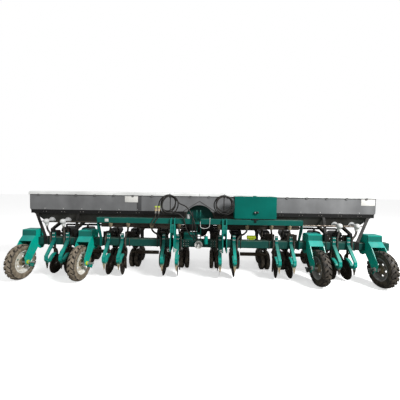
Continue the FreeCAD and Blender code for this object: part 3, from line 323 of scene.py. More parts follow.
def paint(name, colour, roughness=0.38, dust=0.25, chips=0.5, gloss=0.22, bare=(0.30, 0.29, 0.27)):
    """Sprayed enamel: slight fading, dust on top faces, worn corners, orange peel. colour is a
    colour or a rule of the surface."""
    made = Surface(name)
    body = made.shaded(colour(made) if callable(colour) else colour, 2.3, 0.82, 1.15)
    film = made.math("MULTIPLY", made.upward(), made.patches(9, 6, 0.35, 0.75), clamp=True)
    body = made.cover(body, DUST, film, dust)
    splash = made.all_of(made.patches(30, 6, 0.55, 0.70), made.ramp(made.along["z"], 0.7, 0.3))
    body = made.cover(body, DUST, splash, 0.5)
    worn = made.all_of(made.edges(0.004), made.patches(70, 4, 0.56, 0.64))
    made.colour(made.cover(body, bare, worn, chips))
    made.set(Roughness=made.patches(14, 4, 0.3, 0.7, roughness - 0.06, roughness + 0.12))
    made.set(Specular_IOR_Level=gloss)
    made.relief(made.noise(260, 2), 0.10, 0.0006)
    return made.material


def rubber(name, colour, share, hub=None, groove_shade=None):
    """Black rubber with dry soil in patches. hub is (y, z, radius, colour) of an inner wheel, and
    the last argument is a dark colour between a ground wheel's tread bars: painted shade."""
    made = Surface(name)
    tone = made.patches(16, 6, 0.38, 0.66)
    body = made.cover(colour, DUST, tone, share)
    if groove_shade:
        # Painted shade at the foot of the tread bars.
        reach = made.radius_from(WHEEL_Y, WHEEL_RADIUS)
        deep = made.all_of(made.ramp(reach, 0.320, 0.308), made.ramp(reach, 0.296, 0.302))
        body = made.blend(deep, body, groove_shade)
    if hub:
        y, z, radius, inside = hub
        inner = made.ramp(made.radius_from(y, z), radius + 0.002, radius)
        body = made.blend(inner, body, made.shaded(inside, 20, 0.7, 1.2))
    made.colour(body)
    made.set(Roughness=made.ramp(tone, 0, 1, 0.55, 0.92))
    made.relief(made.noise(140, 5), 0.35, 0.0015)
    return made.material


def plastic(name, colour, roughness=0.3, dust=0.25):
    """Moulded plastic with fine grain and a little dust."""
    made = Surface(name)
    film = made.math("MULTIPLY", made.upward(), made.patches(11, 5, 0.4, 0.75), clamp=True)
    body = made.shaded(colour(made) if callable(colour) else colour, 5, 0.85, 1.2)
    made.colour(made.cover(body, DUST, film, dust))
    made.set(Roughness=made.patches(40, 3, 0.3, 0.7, roughness, roughness + 0.15))
    made.relief(made.noise(420, 2), 0.12, 0.0004)
    return made.material


def bare_steel(name, colour, rust, share, metallic=0.75):
    """Soil-polished steel with thin rust."""
    made = Surface(name)
    patches = made.patches(18, 7, 0.44, 0.66)
    made.colour(made.cover(colour, rust, patches, share))
    made.set(Metallic=metallic, Roughness=made.ramp(patches, 0, 1, 0.34, 0.72))
    made.relief(made.noise(120, 5), 0.2, 0.0008)
    return made.material


def fork_colours(made):
    """Bright arms and apron with a painted sheen on their top faces, a painted shade on the recessed upright face,
    and the axle's collar and end; the collars of the right-hand wheels are dark with painted shade.
    """
    hub = made.radius_from(WHEEL_Y, WHEEL_RADIUS)
    face = made.zone(z=(0.787, 0.892), y=(None, -0.135))
    # Faces that look up take another colour: painted sheen.
    colour = made.blend(made.upward(), (0.0008, 0.460, 0.350), (0.0010, 0.300, 0.265))
    # The recessed upright face is darker: painted shade.
    colour = made.blend(face, colour, (0.001, 0.165, 0.135))
    # Lime collars on the left; on the right a dark colour that is painted shade.
    collar = made.blend(made.above("x", 0.0), LIME, (0.06, 0.06, 0.05))
    colour = made.blend(made.ramp(hub, 0.0300, 0.0295), colour, collar)
    return made.blend(made.ramp(hub, 0.0195, 0.0190), colour, SILVER)


def rim_colours(made, edge, dish):
    """A bright rim round a dish that soil has stained."""
    reach = made.radius_from(WHEEL_Y, WHEEL_RADIUS)
    soil = made.patches(24, 5, 0.35, 0.65, 0.3, 1.0)
    return made.cover(edge, dish, made.ramp(reach, 0.158, 0.135), soil)


def opener_colours(made):
    """Straps that are brighter low down, worn share tips, and the black plates behind them. The
    outermost tips are still black with soil."""
    strap = made.below("y", BAR_FRONT + 0.0005)
    tip = made.ramp(made.along["z"], 0.330, 0.285)
    outside = made.ramp(made.math("ABSOLUTE", made.along["x"]), 2.30, 2.32)
    front = made.blend(made.ramp(made.along["z"], 0.68, 0.55), (0.002, 0.135, 0.112), BRIGHT_GREEN)
    worn = made.blend(outside, made.shaded(TAN, 30, 0.5, 1.4), (0.035, 0.030, 0.024))
    front = made.blend(tip, front, worn)
    return made.blend(strap, BLACK, front)


def hopper_colours(made):
    """Grey panel with long rain marks over a funnel made dark with painted shade."""
    marks = made.ramp(made.noise(3.0, 5, (1, 1, 0.15)), 0.3, 0.7)
    panel = made.blend(marks, (0.160, 0.162, 0.166), (0.215, 0.218, 0.222))
    # The funnel faces down; its dark colour is painted shade.
    low = made.blend(made.patches(2.0, 4, 0.35, 0.65), (0.030, 0.029, 0.026), (0.060, 0.058, 0.052))
    return made.blend(made.above("z", HOPPER_KNEE - 0.002), low, panel)


def driveline_colours(made):
    """Green fan, black drive cover, yellow-green motor, bright oil cup and silver shaft."""
    motor = made.zone(x=(0.9, None), z=(0.755, None))
    cup = made.zone(x=(0.09, 0.19), y=(None, -0.085), z=(None, 0.84))
    shaft = made.zone(y=(None, -0.206), z=(None, 0.76))
    cover = made.zone(z=(0.79, 1.085))
    colour = made.blend(cover, (0.003, 0.062, 0.052), SOOT)
    colour = made.blend(motor, colour, LIME)
    colour = made.blend(cup, colour, (0.002, 0.30, 0.24))
    return made.blend(shaft, colour, SILVER)


def headstock_colours(made):
    """The two hitch brackets are brighter than the mast between them."""
    plates = (0.001, 0.230, 0.185)
    colour = made.blend(made.above("x", 0.44), (0.002, 0.100, 0.080), plates)
    return made.blend(made.below("x", -0.44), colour, plates)


def meter_colours(made):
    """Black metering units: tan dusty caps on the inner eight, pale domes on the outer four."""
    outside = made.ramp(made.math("ABSOLUTE", made.along["x"]), OUTER_METERS, OUTER_METERS + 0.02)
    cap = made.math("MAXIMUM", made.below("y", -0.015), made.below("z", 1.035))
    colour = made.blend(cap, (0.016, 0.015, 0.014), TAN)
    dome = made.all_of(outside, made.above("z", 1.0))
    return made.blend(dome, colour, (0.62, 0.63, 0.63))


def support_colours(made):
    """Black struts, with grey hinges at the hopper's top."""
    return made.blend(made.above("z", 1.5), SOOT, (0.16, 0.16, 0.16))


def rail_colours(made):
    """Green rail, and black above it."""
    return made.blend(made.above("z", 1.188), RAIL_GREEN, BLACK)


def unit_colours(made):
    """Black frames with brown dusty cross bars."""
    bar = made.zone(z=(0.348, 0.396), y=(0.305, 0.355))
    return made.blend(bar, BLACK, (0.075, 0.058, 0.042))


def dress_nodes():
    """Gives each CAD node the material of the longest name that starts its own."""
    tread = (0.036, 0.030, 0.024)
    gauge_hub = (0.500, 0.200, 0.135, (0.03, 0.028, 0.026))
    press_hub = (0.960, 0.170, 0.100, (0.05, 0.046, 0.04))
    materials = {
        "toolbar": paint("toolbar_green", TOOLBAR_GREEN, 0.5, dust=0.4),
        "headstock": paint("headstock_green", headstock_colours),
        "front_rail": paint("rail_green", rail_colours),
        "wheel_forks": paint("fork_green", fork_colours, 0.32, dust=0.10, gloss=0.5),
        "opener_shanks": paint("shank_green", opener_colours, 0.35, dust=0.15),
        "fan_and_driveline": paint("fan_green", driveline_colours),
        "control_box": paint("box_green", GREEN, 0.5, dust=0.0, gloss=0.08),
        "fertilizer_hopper": paint("hopper_grey", hopper_colours, 0.45, dust=0.2),
        "hopper_lid": paint("lid_white", (0.82, 0.83, 0.82), 0.4, dust=0.05),
        "hopper_supports": paint("support_black", support_colours, 0.55, dust=0.2),
        "row_brackets": paint("bracket_black", BLACK, 0.5, dust=0.5),
        "parallel_arms": paint("arm_black", BLACK, 0.5, dust=0.5),
        "row_unit_frames": paint("unit_black", unit_colours, 0.5, dust=0.4),
        "seed_hoppers": plastic("seed_box_black", (0.010, 0.010, 0.011), 0.15, dust=0.1),
        "fertilizer_meters": plastic("meter_black", meter_colours),
        "hose": rubber("hose_black", SOOT, 0.2),
        "opener_discs": bare_steel("disc_steel", (0.075, 0.066, 0.058), (0.060, 0.038, 0.024), 0.8),
        "gauge_wheels": rubber("gauge_rubber", tread, 0.35, gauge_hub),
        "press_wheel": rubber("press_rubber", tread, 0.4, press_hub),
        "wheel": rubber("wheel_rubber", BLACK, 0.5),
    }
    for name, node in NODES.items():
        start = max((key for key in materials if name.startswith(key)), key=len)
        node.data.materials.clear()
        node.data.materials.append(materials[start])


# -------- mesh helpers


def facing(place, direction):
    """A local frame at a place whose Z runs in that direction."""
    return Matrix.Translation(place) @ Vector(direction).to_track_quat("Z", "Y").to_matrix().to_4x4()


def bridge(shape, first, second):
    """Faces between two rings of corners. A ring of one corner is a tip."""
    count = max(len(first), len(second))
    for k in range(count if count > 2 else 0):
        n = (k + 1) % count
        places = ((first, k), (first, n), (second, n), (second, k))
        shape.faces.new(list(dict.fromkeys(ring[place % len(ring)] for ring, place in places)))


def bridge_all(shape, rings):
    for first, second in zip(rings, rings[1:]):
        bridge(shape, first, second)


def around(count, shift=0.0, closed=False):
    """Angles round a circle. A closed round ends where it starts."""
    return [2 * math.pi * (k + shift) / count for k in range(count + closed)]


def polar(radius, turn, height=0.0):
    return Vector((radius * math.cos(turn), radius * math.sin(turn), height))


def shapes(count):
    return [bmesh.new() for _ in range(count)]


def lathe(shape, profile, where, steps=24, closed=False):
    """Turns (radius, height) pairs about the local Z axis. A closed profile makes a ring."""
    rings = []
    for radius, height in profile:
        turns = around(steps) if radius > 1e-6 else [0.0]
        rings.append([shape.verts.new(where @ polar(radius, turn, height)) for turn in turns])
    bridge_all(shape, rings + rings[:1] if closed else rings)


def mirrored(half):
    """A profile followed by its mirror image, from the far end back."""
    return half + [(radius, -height) for radius, height in reversed(half)]


def knob(radius, height, round_off=0.3):
    """Profile of a round stud with softened rims, closed at both ends."""
    rim = min(radius, height) * round_off
    return [(0, 0), (radius, 0), (radius, height - rim), (radius - rim, height), (0, height)]


def bolt(shape, place, direction, across=0.010):
    """A washer and a hexagon head."""
    where = facing(place, direction)
    lathe(shape, knob(across * 0.95, across * 0.16), where, 14)
    lathe(shape, knob(across * 0.62, across * 0.62, 0.2), where, 6)


def block(shape, size, where, rim=0.002):
    """A box with rounded edges, centred in its local frame."""
    made = bmesh.ops.create_cube(shape, size=1, matrix=where @ Matrix.Diagonal((*size, 1)))
    edges = list({edge for corner in made["verts"] for edge in corner.link_edges})
    bmesh.ops.bevel(shape, geom=edges, offset=rim, segments=2, affect="EDGES", profile=0.5)


def slab(shape, size, place, rim=0.002):
    """A block that is square to the machine, at a place in machine coordinates."""
    block(shape, size, Matrix.Translation(at(*place)), rim)


def pipe(shape, line, radius, steps=10):
    """A round bar along a list of places. radius is a number or a rule of the place's number."""
    rings = []
    side = None
    for k, place in enumerate(line):
        ahead = (line[min(k + 1, len(line) - 1)] - line[max(k - 1, 0)]).normalized()
        side = ahead.orthogonal() if side is None else side - ahead * side.dot(ahead)
        side.normalize()
        across = ahead.cross(side)
        wide = radius(k) if callable(radius) else radius
        rings.append([
            shape.verts.new(place + wide * (math.cos(turn) * side + math.sin(turn) * across))
            for turn in around(steps)
        ])
    bridge_all(shape, rings)
    shape.faces.new(rings[0][::-1])
    shape.faces.new(rings[-1])


def spline_curve(name, places, radius=0.0):
    """A curve of one open NURBS spline with those places as its control points."""
    data = bpy.data.curves.new(name, "CURVE")
    data.dimensions = "3D"
    data.resolution_u = 6
    data.bevel_depth = radius
    data.bevel_resolution = 3
    data.use_fill_caps = True
    spline = data.splines.new("NURBS")
    spline.points.add(len(places) - 1)
    for point, place in zip(spline.points, places):
        point.co = (*place, 1)
    spline.order_u = 3
    spline.use_endpoint_u = True
    return add(name, data)


def curve_corners(places):
    """The corners that the smooth curve of a route runs through."""
    curve = spline_curve("route", places)
    mesh = bpy.data.meshes.new_from_object(curve)
    corners = [corner.co.copy() for corner in mesh.vertices]
    bpy.data.meshes.remove(mesh)
    bpy.data.curves.remove(curve.data)
    return corners


def smooth_line(places, step):
    """Places a step apart along the smooth curve of a route."""
    corners = curve_corners(places)
    line, spare = [corners[0]], 0.0
    for start, end in zip(corners, corners[1:]):
        long = (end - start).length
        while long - spare >= step:
            spare += step
            line.append(start.lerp(end, spare / long))
        spare -= long
    return line + [corners[-1]]


def hose(name, route, radius, material):
    """A smooth round hose along places in machine coordinates. It rides on the frame."""
    curve = spline_curve(name, all_at(route), radius)
    curve.data.materials.append(material)
    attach(curve, "frame")
    return curve


def finished(name, shape, material, body="frame", sharp=38):
    """A piece made from a mesh under construction. It rides on a body."""
    bmesh.ops.recalc_face_normals(shape, faces=shape.faces)
    mesh = bpy.data.meshes.new(name)
    shape.to_mesh(mesh)
    shape.free()
    mesh.shade_smooth()
    mesh.set_sharp_from_angle(angle=math.radians(sharp))
    mesh.materials.append(material)
    piece = add(name, mesh)
    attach(piece, body)
    return piece


# -------- ground wheels

TYRE_HALF = 0.070
RIM_RADIUS = 0.200
CROWN = 0.3065
CARCASS = [
    (RIM_RADIUS, 0.048), (0.205, 0.060), (0.224, 0.067), (0.250, TYRE_HALF), (0.276, 0.068),
    (0.293, 0.060), (0.303, 0.044), (CROWN, 0.020),
]
LUGS = 20
DISC_RADIUS = 0.174


def wheel_frame(name):
    """Local frame at a ground wheel's centre, Z along its axle towards the machine's middle."""
    low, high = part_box(name)
    inward = RIGHT if "left" in name else -RIGHT
    return facing((low + high) / 2, inward)


def lug(shape, where, turn, side, hand):
    """One slanting tread bar, from the tyre's middle to its shoulder."""
    rings = []
    for share in (0.0, 0.35, 0.7, 1.0):
        across = side * (-0.006 + share * (TYRE_HALF + 0.004))
        lean = turn + 0.20 * share * hand
        foot = 0.300 - 0.034 * share**3
        top = WHEEL_RADIUS - 0.020 * share**3
        half = 0.032 + 0.007 * share
        corners = [(foot, -half), (foot, half), (top, half * 0.84), (top, -half * 0.84)]
        rings.append([
            shape.verts.new(where @ polar(radius, lean + off / radius, across)) for radius, off in corners
        ])
    bridge_all(shape, rings)
    shape.faces.new(rings[0])
    shape.faces.new(rings[-1])


def make_tyre(name, material):
    where = wheel_frame(name)
    hand = 1 if "left" in name else -1
    shape = bmesh.new()
    lathe(shape, mirrored(CARCASS), where, 64, closed=True)
    for k in range(LUGS):
        for side in SIDES:
            lug(shape, where, 2 * math.pi * (k + 0.25 * side) / LUGS, side, hand)
    tyre = finished(name.replace("wheel", "tyre"), shape, material, name, 30)
    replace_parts(tyre, name)


def pierced_disc(shape, where):
    """Pressed wheel centre: a dished plate with five oval holes round the hub."""
    flat = [[polar(DISC_RADIUS, turn) for turn in around(60)], [polar(0.040, turn) for turn in around(20)]]
    for middle in around(5):
        out, along = polar(1, middle), Vector((-math.sin(middle), math.cos(middle), 0))
        flat.append([
            out * (0.104 + 0.015 * math.cos(turn)) + along * 0.022 * math.sin(turn) for turn in around(16)
        ])
    edges = []
    for loop in flat:
        corners = [shape.verts.new(place) for place in loop]
        edges += [shape.edges.new(pair) for pair in zip(corners, corners[1:] + corners[:1])]
    filled = bmesh.ops.triangle_fill(shape, edges=edges, use_beauty=True)["geom"]
    faces = [face for face in filled if isinstance(face, bmesh.types.BMFace)]
    made = bmesh.ops.extrude_face_region(shape, geom=faces)
    moved = [corner for corner in made["geom"] if isinstance(corner, bmesh.types.BMVert)]
    bmesh.ops.translate(shape, verts=moved, vec=(0, 0, 0.007))
    for corner in {corner for face in shape.faces for corner in face.verts}:
        reach = math.hypot(corner.co.x, corner.co.y)
        corner.co.z += 0.030 * (1 - min(1, (reach / DISC_RADIUS) ** 2)) - 0.012
        corner.co = where @ corner.co


def make_rim(name, disc_paint, hub_paint):
    """A ground wheel's rim with its pressed centre, and the hub with its five nuts."""
    where = wheel_frame(name)
    shape = bmesh.new()
    pierced_disc(shape, where)
    half = [(0.213, 0.061), (0.213, 0.056), (0.1985, 0.051), (0.192, 0.040), (0.178, 0.028)]
    inside = [(0.172, 0.026), (0.184, 0.044), (0.199, 0.061)]
    outline = mirrored(half) + [(radius, -across) for radius, across in reversed(inside)] + inside
    lathe(shape, outline, where, 64, closed=True)
    finished(name.replace("wheel", "rim"), shape, disc_paint, name)
    shape = bmesh.new()
    lathe(shape, [
        (0.0187, 0.036), (0.038, 0.036), (0.044, 0.030), (0.046, 0.024), (0.070, 0.022), (0.072, 0.012),
        (0.040, 0.006), (0.040, -0.034), (0.0187, -0.036),
    ], where, 28, closed=True)
    for turn in around(5, 0.5):
        bolt(shape, where @ polar(0.058, turn, 0.022), where.to_3x3() @ UP, 0.011)
    finished(name.replace("wheel", "hub"), shape, hub_paint, name)


def make_ground_wheels():
    """Those named left are pale with dry soil and painted light; the others are dark, their tyres and rims a copy
    with painted shade.
    """
    dusty = rubber("tyre_dusty_and_lit", (0.170, 0.140, 0.100), 1.0, groove_shade=(0.030, 0.025, 0.020))
    # A dark copy of the tyre for the right-hand wheels: painted shade.
    dark = rubber("tyre_dark_shaded", (0.024, 0.021, 0.018), 0.25, groove_shade=(0.012, 0.010, 0.008))
    pale, stained = (0.86, 0.84, 0.78), (0.52, 0.46, 0.36)
    white = paint("rim_white", lambda made: rim_colours(made, pale, stained), 0.4, 0.2, 0.8)
    # A dull grey copy of the rim for the right-hand wheels: painted shade.
    dull, brown = (0.36, 0.36, 0.36), (0.13, 0.105, 0.075)
    grey = paint("rim_grey_shaded", lambda made: rim_colours(made, dull, brown), 0.4, 0.2, 0.8)
    hub = paint("hub_tan", (0.22, 0.18, 0.11), 0.5)
    for name in WHEELS:
        make_tyre(name, dusty if "left" in name else dark)
        make_rim(name, white if "left" in name else grey, hub)


def make_fork_ends():
    """Greased caps and cotters at the axle ends, and the mud scraper on each fork. The stubs and hung plates of
    the right-hand wheels are dark with painted shade.
    """
    caps, ends, plates, dark = shapes(4)
    for name in WHEELS:
        low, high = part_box(name)
        middle = (low + high) / 2
        for side in SIDES:
            face = middle + RIGHT * side * FORK_HALF
            lathe(caps, [(0.0183, 0.0), (0.036, 0.0), (0.038, 0.004), (0.034, 0.020), (0.0183, 0.023)],
                  facing(face, RIGHT * side), 24, closed=True)
            bolt(ends, face + RIGHT * side * 0.0255, RIGHT * side, 0.013)
        inward = 1 if "left" in name else -1
        arm = middle + Vector((inward * (FORK_HALF + 0.004), 0.045, -0.060))
        block(plates, (0.008, 0.070, 0.085), Matrix.Translation(arm) @ Matrix.Rotation(0.5, 4, "X"), 0.003)
        bolt(ends, arm + Vector((inward * 0.004, -0.008, 0.016)), RIGHT * inward, 0.010)
        bolt(ends, arm + Vector((inward * 0.004, 0.012, -0.016)), RIGHT * inward, 0.010)
        stub = middle + RIGHT * inward * (FORK_HALF + 0.023)
        # Right-hand stubs and plates go to the dark piece: painted shade.
        lathe(ends if inward > 0 else dark, [
            (0, 0), (0.012, 0), (0.012, 0.085), (0.017, 0.087), (0.017, 0.105), (0.008, 0.112), (0, 0.113),
        ], facing(stub, RIGHT * inward), 16)
        hung = Matrix.Translation(stub + Vector((inward * 0.050, 0.006, -0.046)))
        hung = hung @ Matrix.Rotation(0.35 * inward, 4, "Y")
        block(plates if inward > 0 else dark, (0.075, 0.008, 0.070), hung, 0.003)
    cap = paint("cap_lime", lambda made: made.blend(made.above("x", 0.0), LIME, SILVER), 0.4)
    finished("axle_caps", caps, cap)
    finished("axle_ends", ends, bare_steel("end_steel", (0.55, 0.55, 0.53), (0.2, 0.15, 0.1), 0.4))
    finished("scraper_plates", plates, paint("plate_green", (0.001, 0.26, 0.21), 0.4))
    finished("shaded_stubs", dark, paint("stub_shaded", (0.020, 0.030, 0.028), 0.5))


# -------- hoses and coils

HOSE_RADIUS, HOSE_PITCH = 0.019, 0.0165
HOSE_CORD, CABLE_CORD = 0.024, 0.022


def hose_route(number, meter, opener):
    """Route of a fertilizer hose from its metering unit past the toolbar's front to its opener."""
    side = 1 if meter > opener else -1
    beside = opener + side * 0.060
    boot = opener + (0.024 if number % 2 == 0 else -0.024)
    return [
        (meter, METER_Y, 0.960), (meter, METER_Y, 0.890),
        (meter * 0.1 + beside * 0.9, BAR_FRONT - 0.005, 0.815), (beside, BAR_FRONT - 0.037, 0.725),
        (beside, BAR_FRONT - 0.036, 0.635), (beside, BAR_FRONT - 0.005, 0.540),
        (opener + side * 0.056, 0.012, 0.505), (boot, 0.032, 0.466), (boot, 0.032, 0.425),
    ]


def ribbed_hose(shape, places):
    line = smooth_line(places, HOSE_PITCH / 4)
    pipe(shape, line, lambda k: HOSE_RADIUS * (0.84, 0.99, 1.0, 0.99)[k % 4], 12)


def make_hoses():
    """The ribbed fertilizer hoses, with a clamp at the top of each."""
    shape, clamps = shapes(2)
    for number, (meter, opener) in enumerate(zip(METERS, OPENERS[:5:-1])):
        route = hose_route(number, meter, opener)
        for side in (1, -1):
            ribbed_hose(shape, [at(side * x, y, z) for x, y, z in route])
    hoses = finished("fertilizer_hoses", shape, rubber("hose_ribbed", SOOT, 0.25))
    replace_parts(hoses, "hoses")
    inner, outer = HOSE_RADIUS + 0.001, HOSE_RADIUS + 0.003
    band = [(inner, 0.0), (outer, 0.0), (outer, 0.010), (inner, 0.010)]
    for meter in METERS:
        for x in (meter, -meter):
            lathe(clamps, band, facing(at(x, METER_Y, 0.945), UP), 20, closed=True)
            slab(clamps, (0.008, 0.012, 0.010), (x, METER_Y - 0.022, 0.950))
    finished("hose_clamps", clamps, bare_steel("clamp_steel", (0.6, 0.6, 0.58), (0.3, 0.25, 0.2), 0.3))


def make_lines(material):
    """Two hydraulic lines from the left coil's ends down past the rail to the gearbox, and a thin
    line beside them."""
    first = [
        (-0.365, COIL_Y, 1.470), (-0.325, COIL_Y, 1.450), (-0.275, -0.2853, 1.434), (-0.215, -0.2923, 1.396),
        (-0.167, -0.3023, 1.325), (-0.118, -0.3153, 1.235), (-0.080, -0.324, 1.130), (-0.062, -0.300, 1.020),
        (-0.057, -0.240, 0.930), (-0.050, -0.190, 0.850), (-0.046, -0.170, 0.800), (-0.046, -0.170, 0.745),
    ]
    second = [
        (-0.480, -0.322, 1.290), (-0.410, -0.320, 1.288), (-0.340, -0.322, 1.260), (-0.285, -0.318, 1.205),
        (-0.262, -0.316, 1.120), (-0.238, -0.306, 1.010), (-0.190, -0.262, 0.910), (-0.128, -0.212, 0.840),
        (-0.098, -0.180, 0.800), (-0.090, -0.170, 0.745),
    ]
    third = [
        (-0.120, -0.312, 1.330), (-0.105, -0.326, 1.240), (-0.112, -0.328, 1.120), (-0.120, -0.322, 1.000),
        (-0.112, -0.300, 0.900), (-0.060, -0.280, 0.850), (0.030, -0.255, 0.850), (0.105, -0.215, 0.850),
        (0.135, -0.170, 0.850), (0.140, -0.130, 0.828),
    ]
    hose("line_long", first, 0.012, material)
    hose("line_return", second, 0.012, material)
    hose("line_thin", third, 0.007, material)


def coil_route(middle_x, start, turns, size, spread, sway, pitch, skew=0.0):
    """Places of a coil's loose turns, anticlockwise as seen from the front, each in front of the
    one before. size is half a turn's width and height; the turns lean apart sideways by spread
    and grow and shrink by sway, and their bottoms hang aside by skew."""
    per_turn = 20
    count = int(turns * per_turn)
    wide, high = size
    top = COIL_Z + 0.160
    places = []
    for k in range(count + 1):
        wound = k / per_turn
        turn = start + 2 * math.pi * wound
        grown = 1 + sway * math.sin(2.4 * wound + 0.6)
        middle = middle_x + spread * (wound / turns - 0.5)
        places.append((
            middle + grown * wide * math.cos(turn) - skew * (1 - math.sin(turn)) / 2,
            COIL_Y + 0.014 - pitch * wound,
            top - grown * high * (1 - math.sin(turn)) + 0.010 * math.sin(1.9 * wound),
        ))
    return places


def make_cord(name, route, node, diameter, far_end, material, **words):
    """A coiled cord in place of its CAD node."""
    cord = hose(name, route, diameter / 2, material)
    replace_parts(cord, node)
    places = all_at(route)
    corners = curve_corners(places)


def make_coils():
    """The hydraulic hose coil on the left stand, the cable coil on the right one, and the lines."""
    black = rubber("coil_black", (0.008, 0.008, 0.008), 0.06)
    lead = ((-0.365, 0.010), (-0.400, 0.050), (-0.450, 0.098))
    left = [(x, COIL_Y, COIL_Z + rise) for x, rise in lead]
    left += coil_route(COIL_LEFT, math.radians(60), 3.60, (0.142, 0.162), 0.085, 0.10, 0.0242, 0.040)
    left += [(-0.480, -0.322, 1.290)]
    make_cord("hose_coil_left_turns", left, "hose_coil_left", HOSE_CORD, "object", black)
    right = [GLAND, (0.640, RAIL_MIDDLE, 1.588), (0.605, -0.263, 1.592)]
    right += coil_route(COIL_RIGHT, math.radians(58), 3.70, (0.155, 0.160), 0.034, 0.12, 0.0225)
    plug = bmesh.new()
    ahead = (Vector(right[-1]) - Vector(right[-2])).normalized()
    lathe(plug, [
        (0, -0.008), (0.012, -0.008), (0.013, 0), (0.013, 0.018), (0.016, 0.020), (0.016, 0.042),
        (0.014, 0.045), (0, 0.045),
    ], facing(at(*right[-1]), ahead), 20)
    piece = finished("cable_plug", plug, plastic("plug_black", SOOT, 0.35))
    make_cord("cable_coil_right_turns", right, "hose_coil_right", CABLE_CORD, "connector", black,
              with_pieces=[piece])
    make_lines(black)


def make_coil_fittings():
    """Ties round the turns, the cable's gland on the control box, and the parked couplers with the
    short hoses below them."""
    ties, bodies, caps, steel = shapes(4)
    for middle in (COIL_LEFT, COIL_RIGHT):
        place = at(middle, COIL_Y - 0.022, COIL_Z + 0.158)
        pipe(ties, [
            place + Vector((0, 0.050 * math.cos(turn), 0.034 * math.sin(turn)))
            for turn in around(20, closed=True)
        ], 0.004, 8)
    lathe(ties, [
        (0, 0), (0.018, 0), (0.018, 0.008), (0.014, 0.009), (0.013, 0.022), (0.0105, 0.026), (0, 0.026),
    ], facing(at(*GLAND), -RIGHT), 6)
    finished("coil_ties", ties, plastic("tie_black", SOOT, 0.4))
    front = COIL_Y - 0.028 - 0.0003 - 0.017
    for x in COUPLERS:
        foot = facing(at(x, front, 1.280), UP)
        lathe(steel, [
            (0, 0), (0.009, 0), (0.011, 0.004), (0.011, 0.020), (0.014, 0.022), (0.014, 0.040),
            (0.011, 0.042), (0.011, 0.050), (0, 0.050),
        ], foot, 12)
        lathe(bodies, [
            (0, 0.042), (0.018, 0.042), (0.023, 0.047), (0.023, 0.074), (0.020, 0.078), (0.020, 0.084),
            (0.023, 0.088), (0.023, 0.112), (0.019, 0.116), (0, 0.116),
        ], foot, 20)
        lathe(caps, [
            (0, 0.115), (0.0235, 0.115), (0.0235, 0.132), (0.018, 0.137), (0.014, 0.139), (0, 0.139),
        ], foot, 16)
    finished("coupler_fittings", steel, bare_steel("fitting_steel", (0.6, 0.6, 0.58), (0.3, 0.25, 0.2), 0.3))
    finished("coupler_sleeves", bodies, plastic("coupler_tan", (0.42, 0.33, 0.20), 0.4))
    finished("coupler_caps", caps, plastic("coupler_lime", (0.45, 0.60, 0.06), 0.4))
    black = rubber("short_hose_black", SOOT, 0.2)
    for number, x in enumerate(COUPLERS):
        route = [
            (x, front, 1.282), (x, front, 1.245), (x - 0.012, front, 1.205), (x - 0.040, front, 1.165),
            (x - 0.070, front, 1.120), (x - 0.085, front + 0.010, 1.065), (x - 0.080, front + 0.050, 1.040),
            (x - 0.070, -0.240, 1.060), (x - 0.068, -0.232, 1.086),
        ]
        hose(f"coupler_hose_{number}", route, 0.009, black)


# -------- bolts and small trim


def make_strap_bolts():
    """Two pairs of pale bolts on each opener strap."""
    shape = bmesh.new()
    for x in OPENERS:
        for z in (0.830, 0.760):
            for side in SIDES:
                bolt(shape, at(x + side * 0.014, BAR_FRONT - 0.034, z), FRONT, 0.011)
    finished("strap_bolts", shape, bare_steel("bolt_zinc", (0.72, 0.72, 0.70), (0.4, 0.36, 0.3), 0.3, 0.5))


def make_hopper_trim():
    """Flange bolts, panel seams and the two bare plates on the fertilizer hopper, and one on the rail."""
    pale, dark, seams, plates = shapes(4)
    inner, outer, count = 0.36, 3.46, 8
    for side in SIDES:
        for k in range(count):
            x = side * (inner + (outer - inner) * (k + 0.35) / count)
            bolt(pale, at(x, HOPPER_FRONT, HOPPER_KNEE + 0.030), FRONT, 0.009)
            # The bolts under the flange are dark with painted shade; those above it are pale.
            for shift in (-0.030, 0.030):
                bolt(dark, at(x + shift, HOPPER_FRONT - 0.006, HOPPER_KNEE - 0.032), FRONT, 0.009)
        seam = (side * 1.240, HOPPER_FRONT - 0.001, (HOPPER_KNEE + HOPPER_TOP) / 2 + 0.004)
        slab(seams, (0.095, 0.003, HOPPER_TOP - HOPPER_KNEE - 0.020), seam, 0.001)
        label = (side * (1.400 if side < 0 else 3.370), HOPPER_FRONT - 0.0015, 1.520)
        slab(plates, (0.270, 0.003, 0.125), label, 0.001)
    slab(plates, (0.070, 0.003, 0.055), (-1.74, -0.2965, 1.135), 0.001)
    for k in range(-8, 9):
        if k:
            for z in (HOPPER_KNEE + 0.030, HOPPER_TOP - 0.045):
                bolt(pale, at(0.425 * k, HOPPER_BACK, z), -FRONT, 0.009)
    finished("hopper_bolts", pale, bare_steel("bolt_pale", (0.75, 0.75, 0.73), (0.5, 0.45, 0.4), 0.3, 0.4))
    # Flange bolts in a darker steel: painted shade under the flange.
    finished("flange_bolts", dark, bare_steel("bolt_shaded", (0.25, 0.24, 0.22), (0.1, 0.08, 0.06), 0.4))
    finished("hopper_seams", seams, paint("seam_grey", (0.085, 0.085, 0.088), 0.45))
    finished("bare_plates", plates, paint("plate_white", (0.78, 0.77, 0.74), 0.5, dust=0.2, chips=0.2))


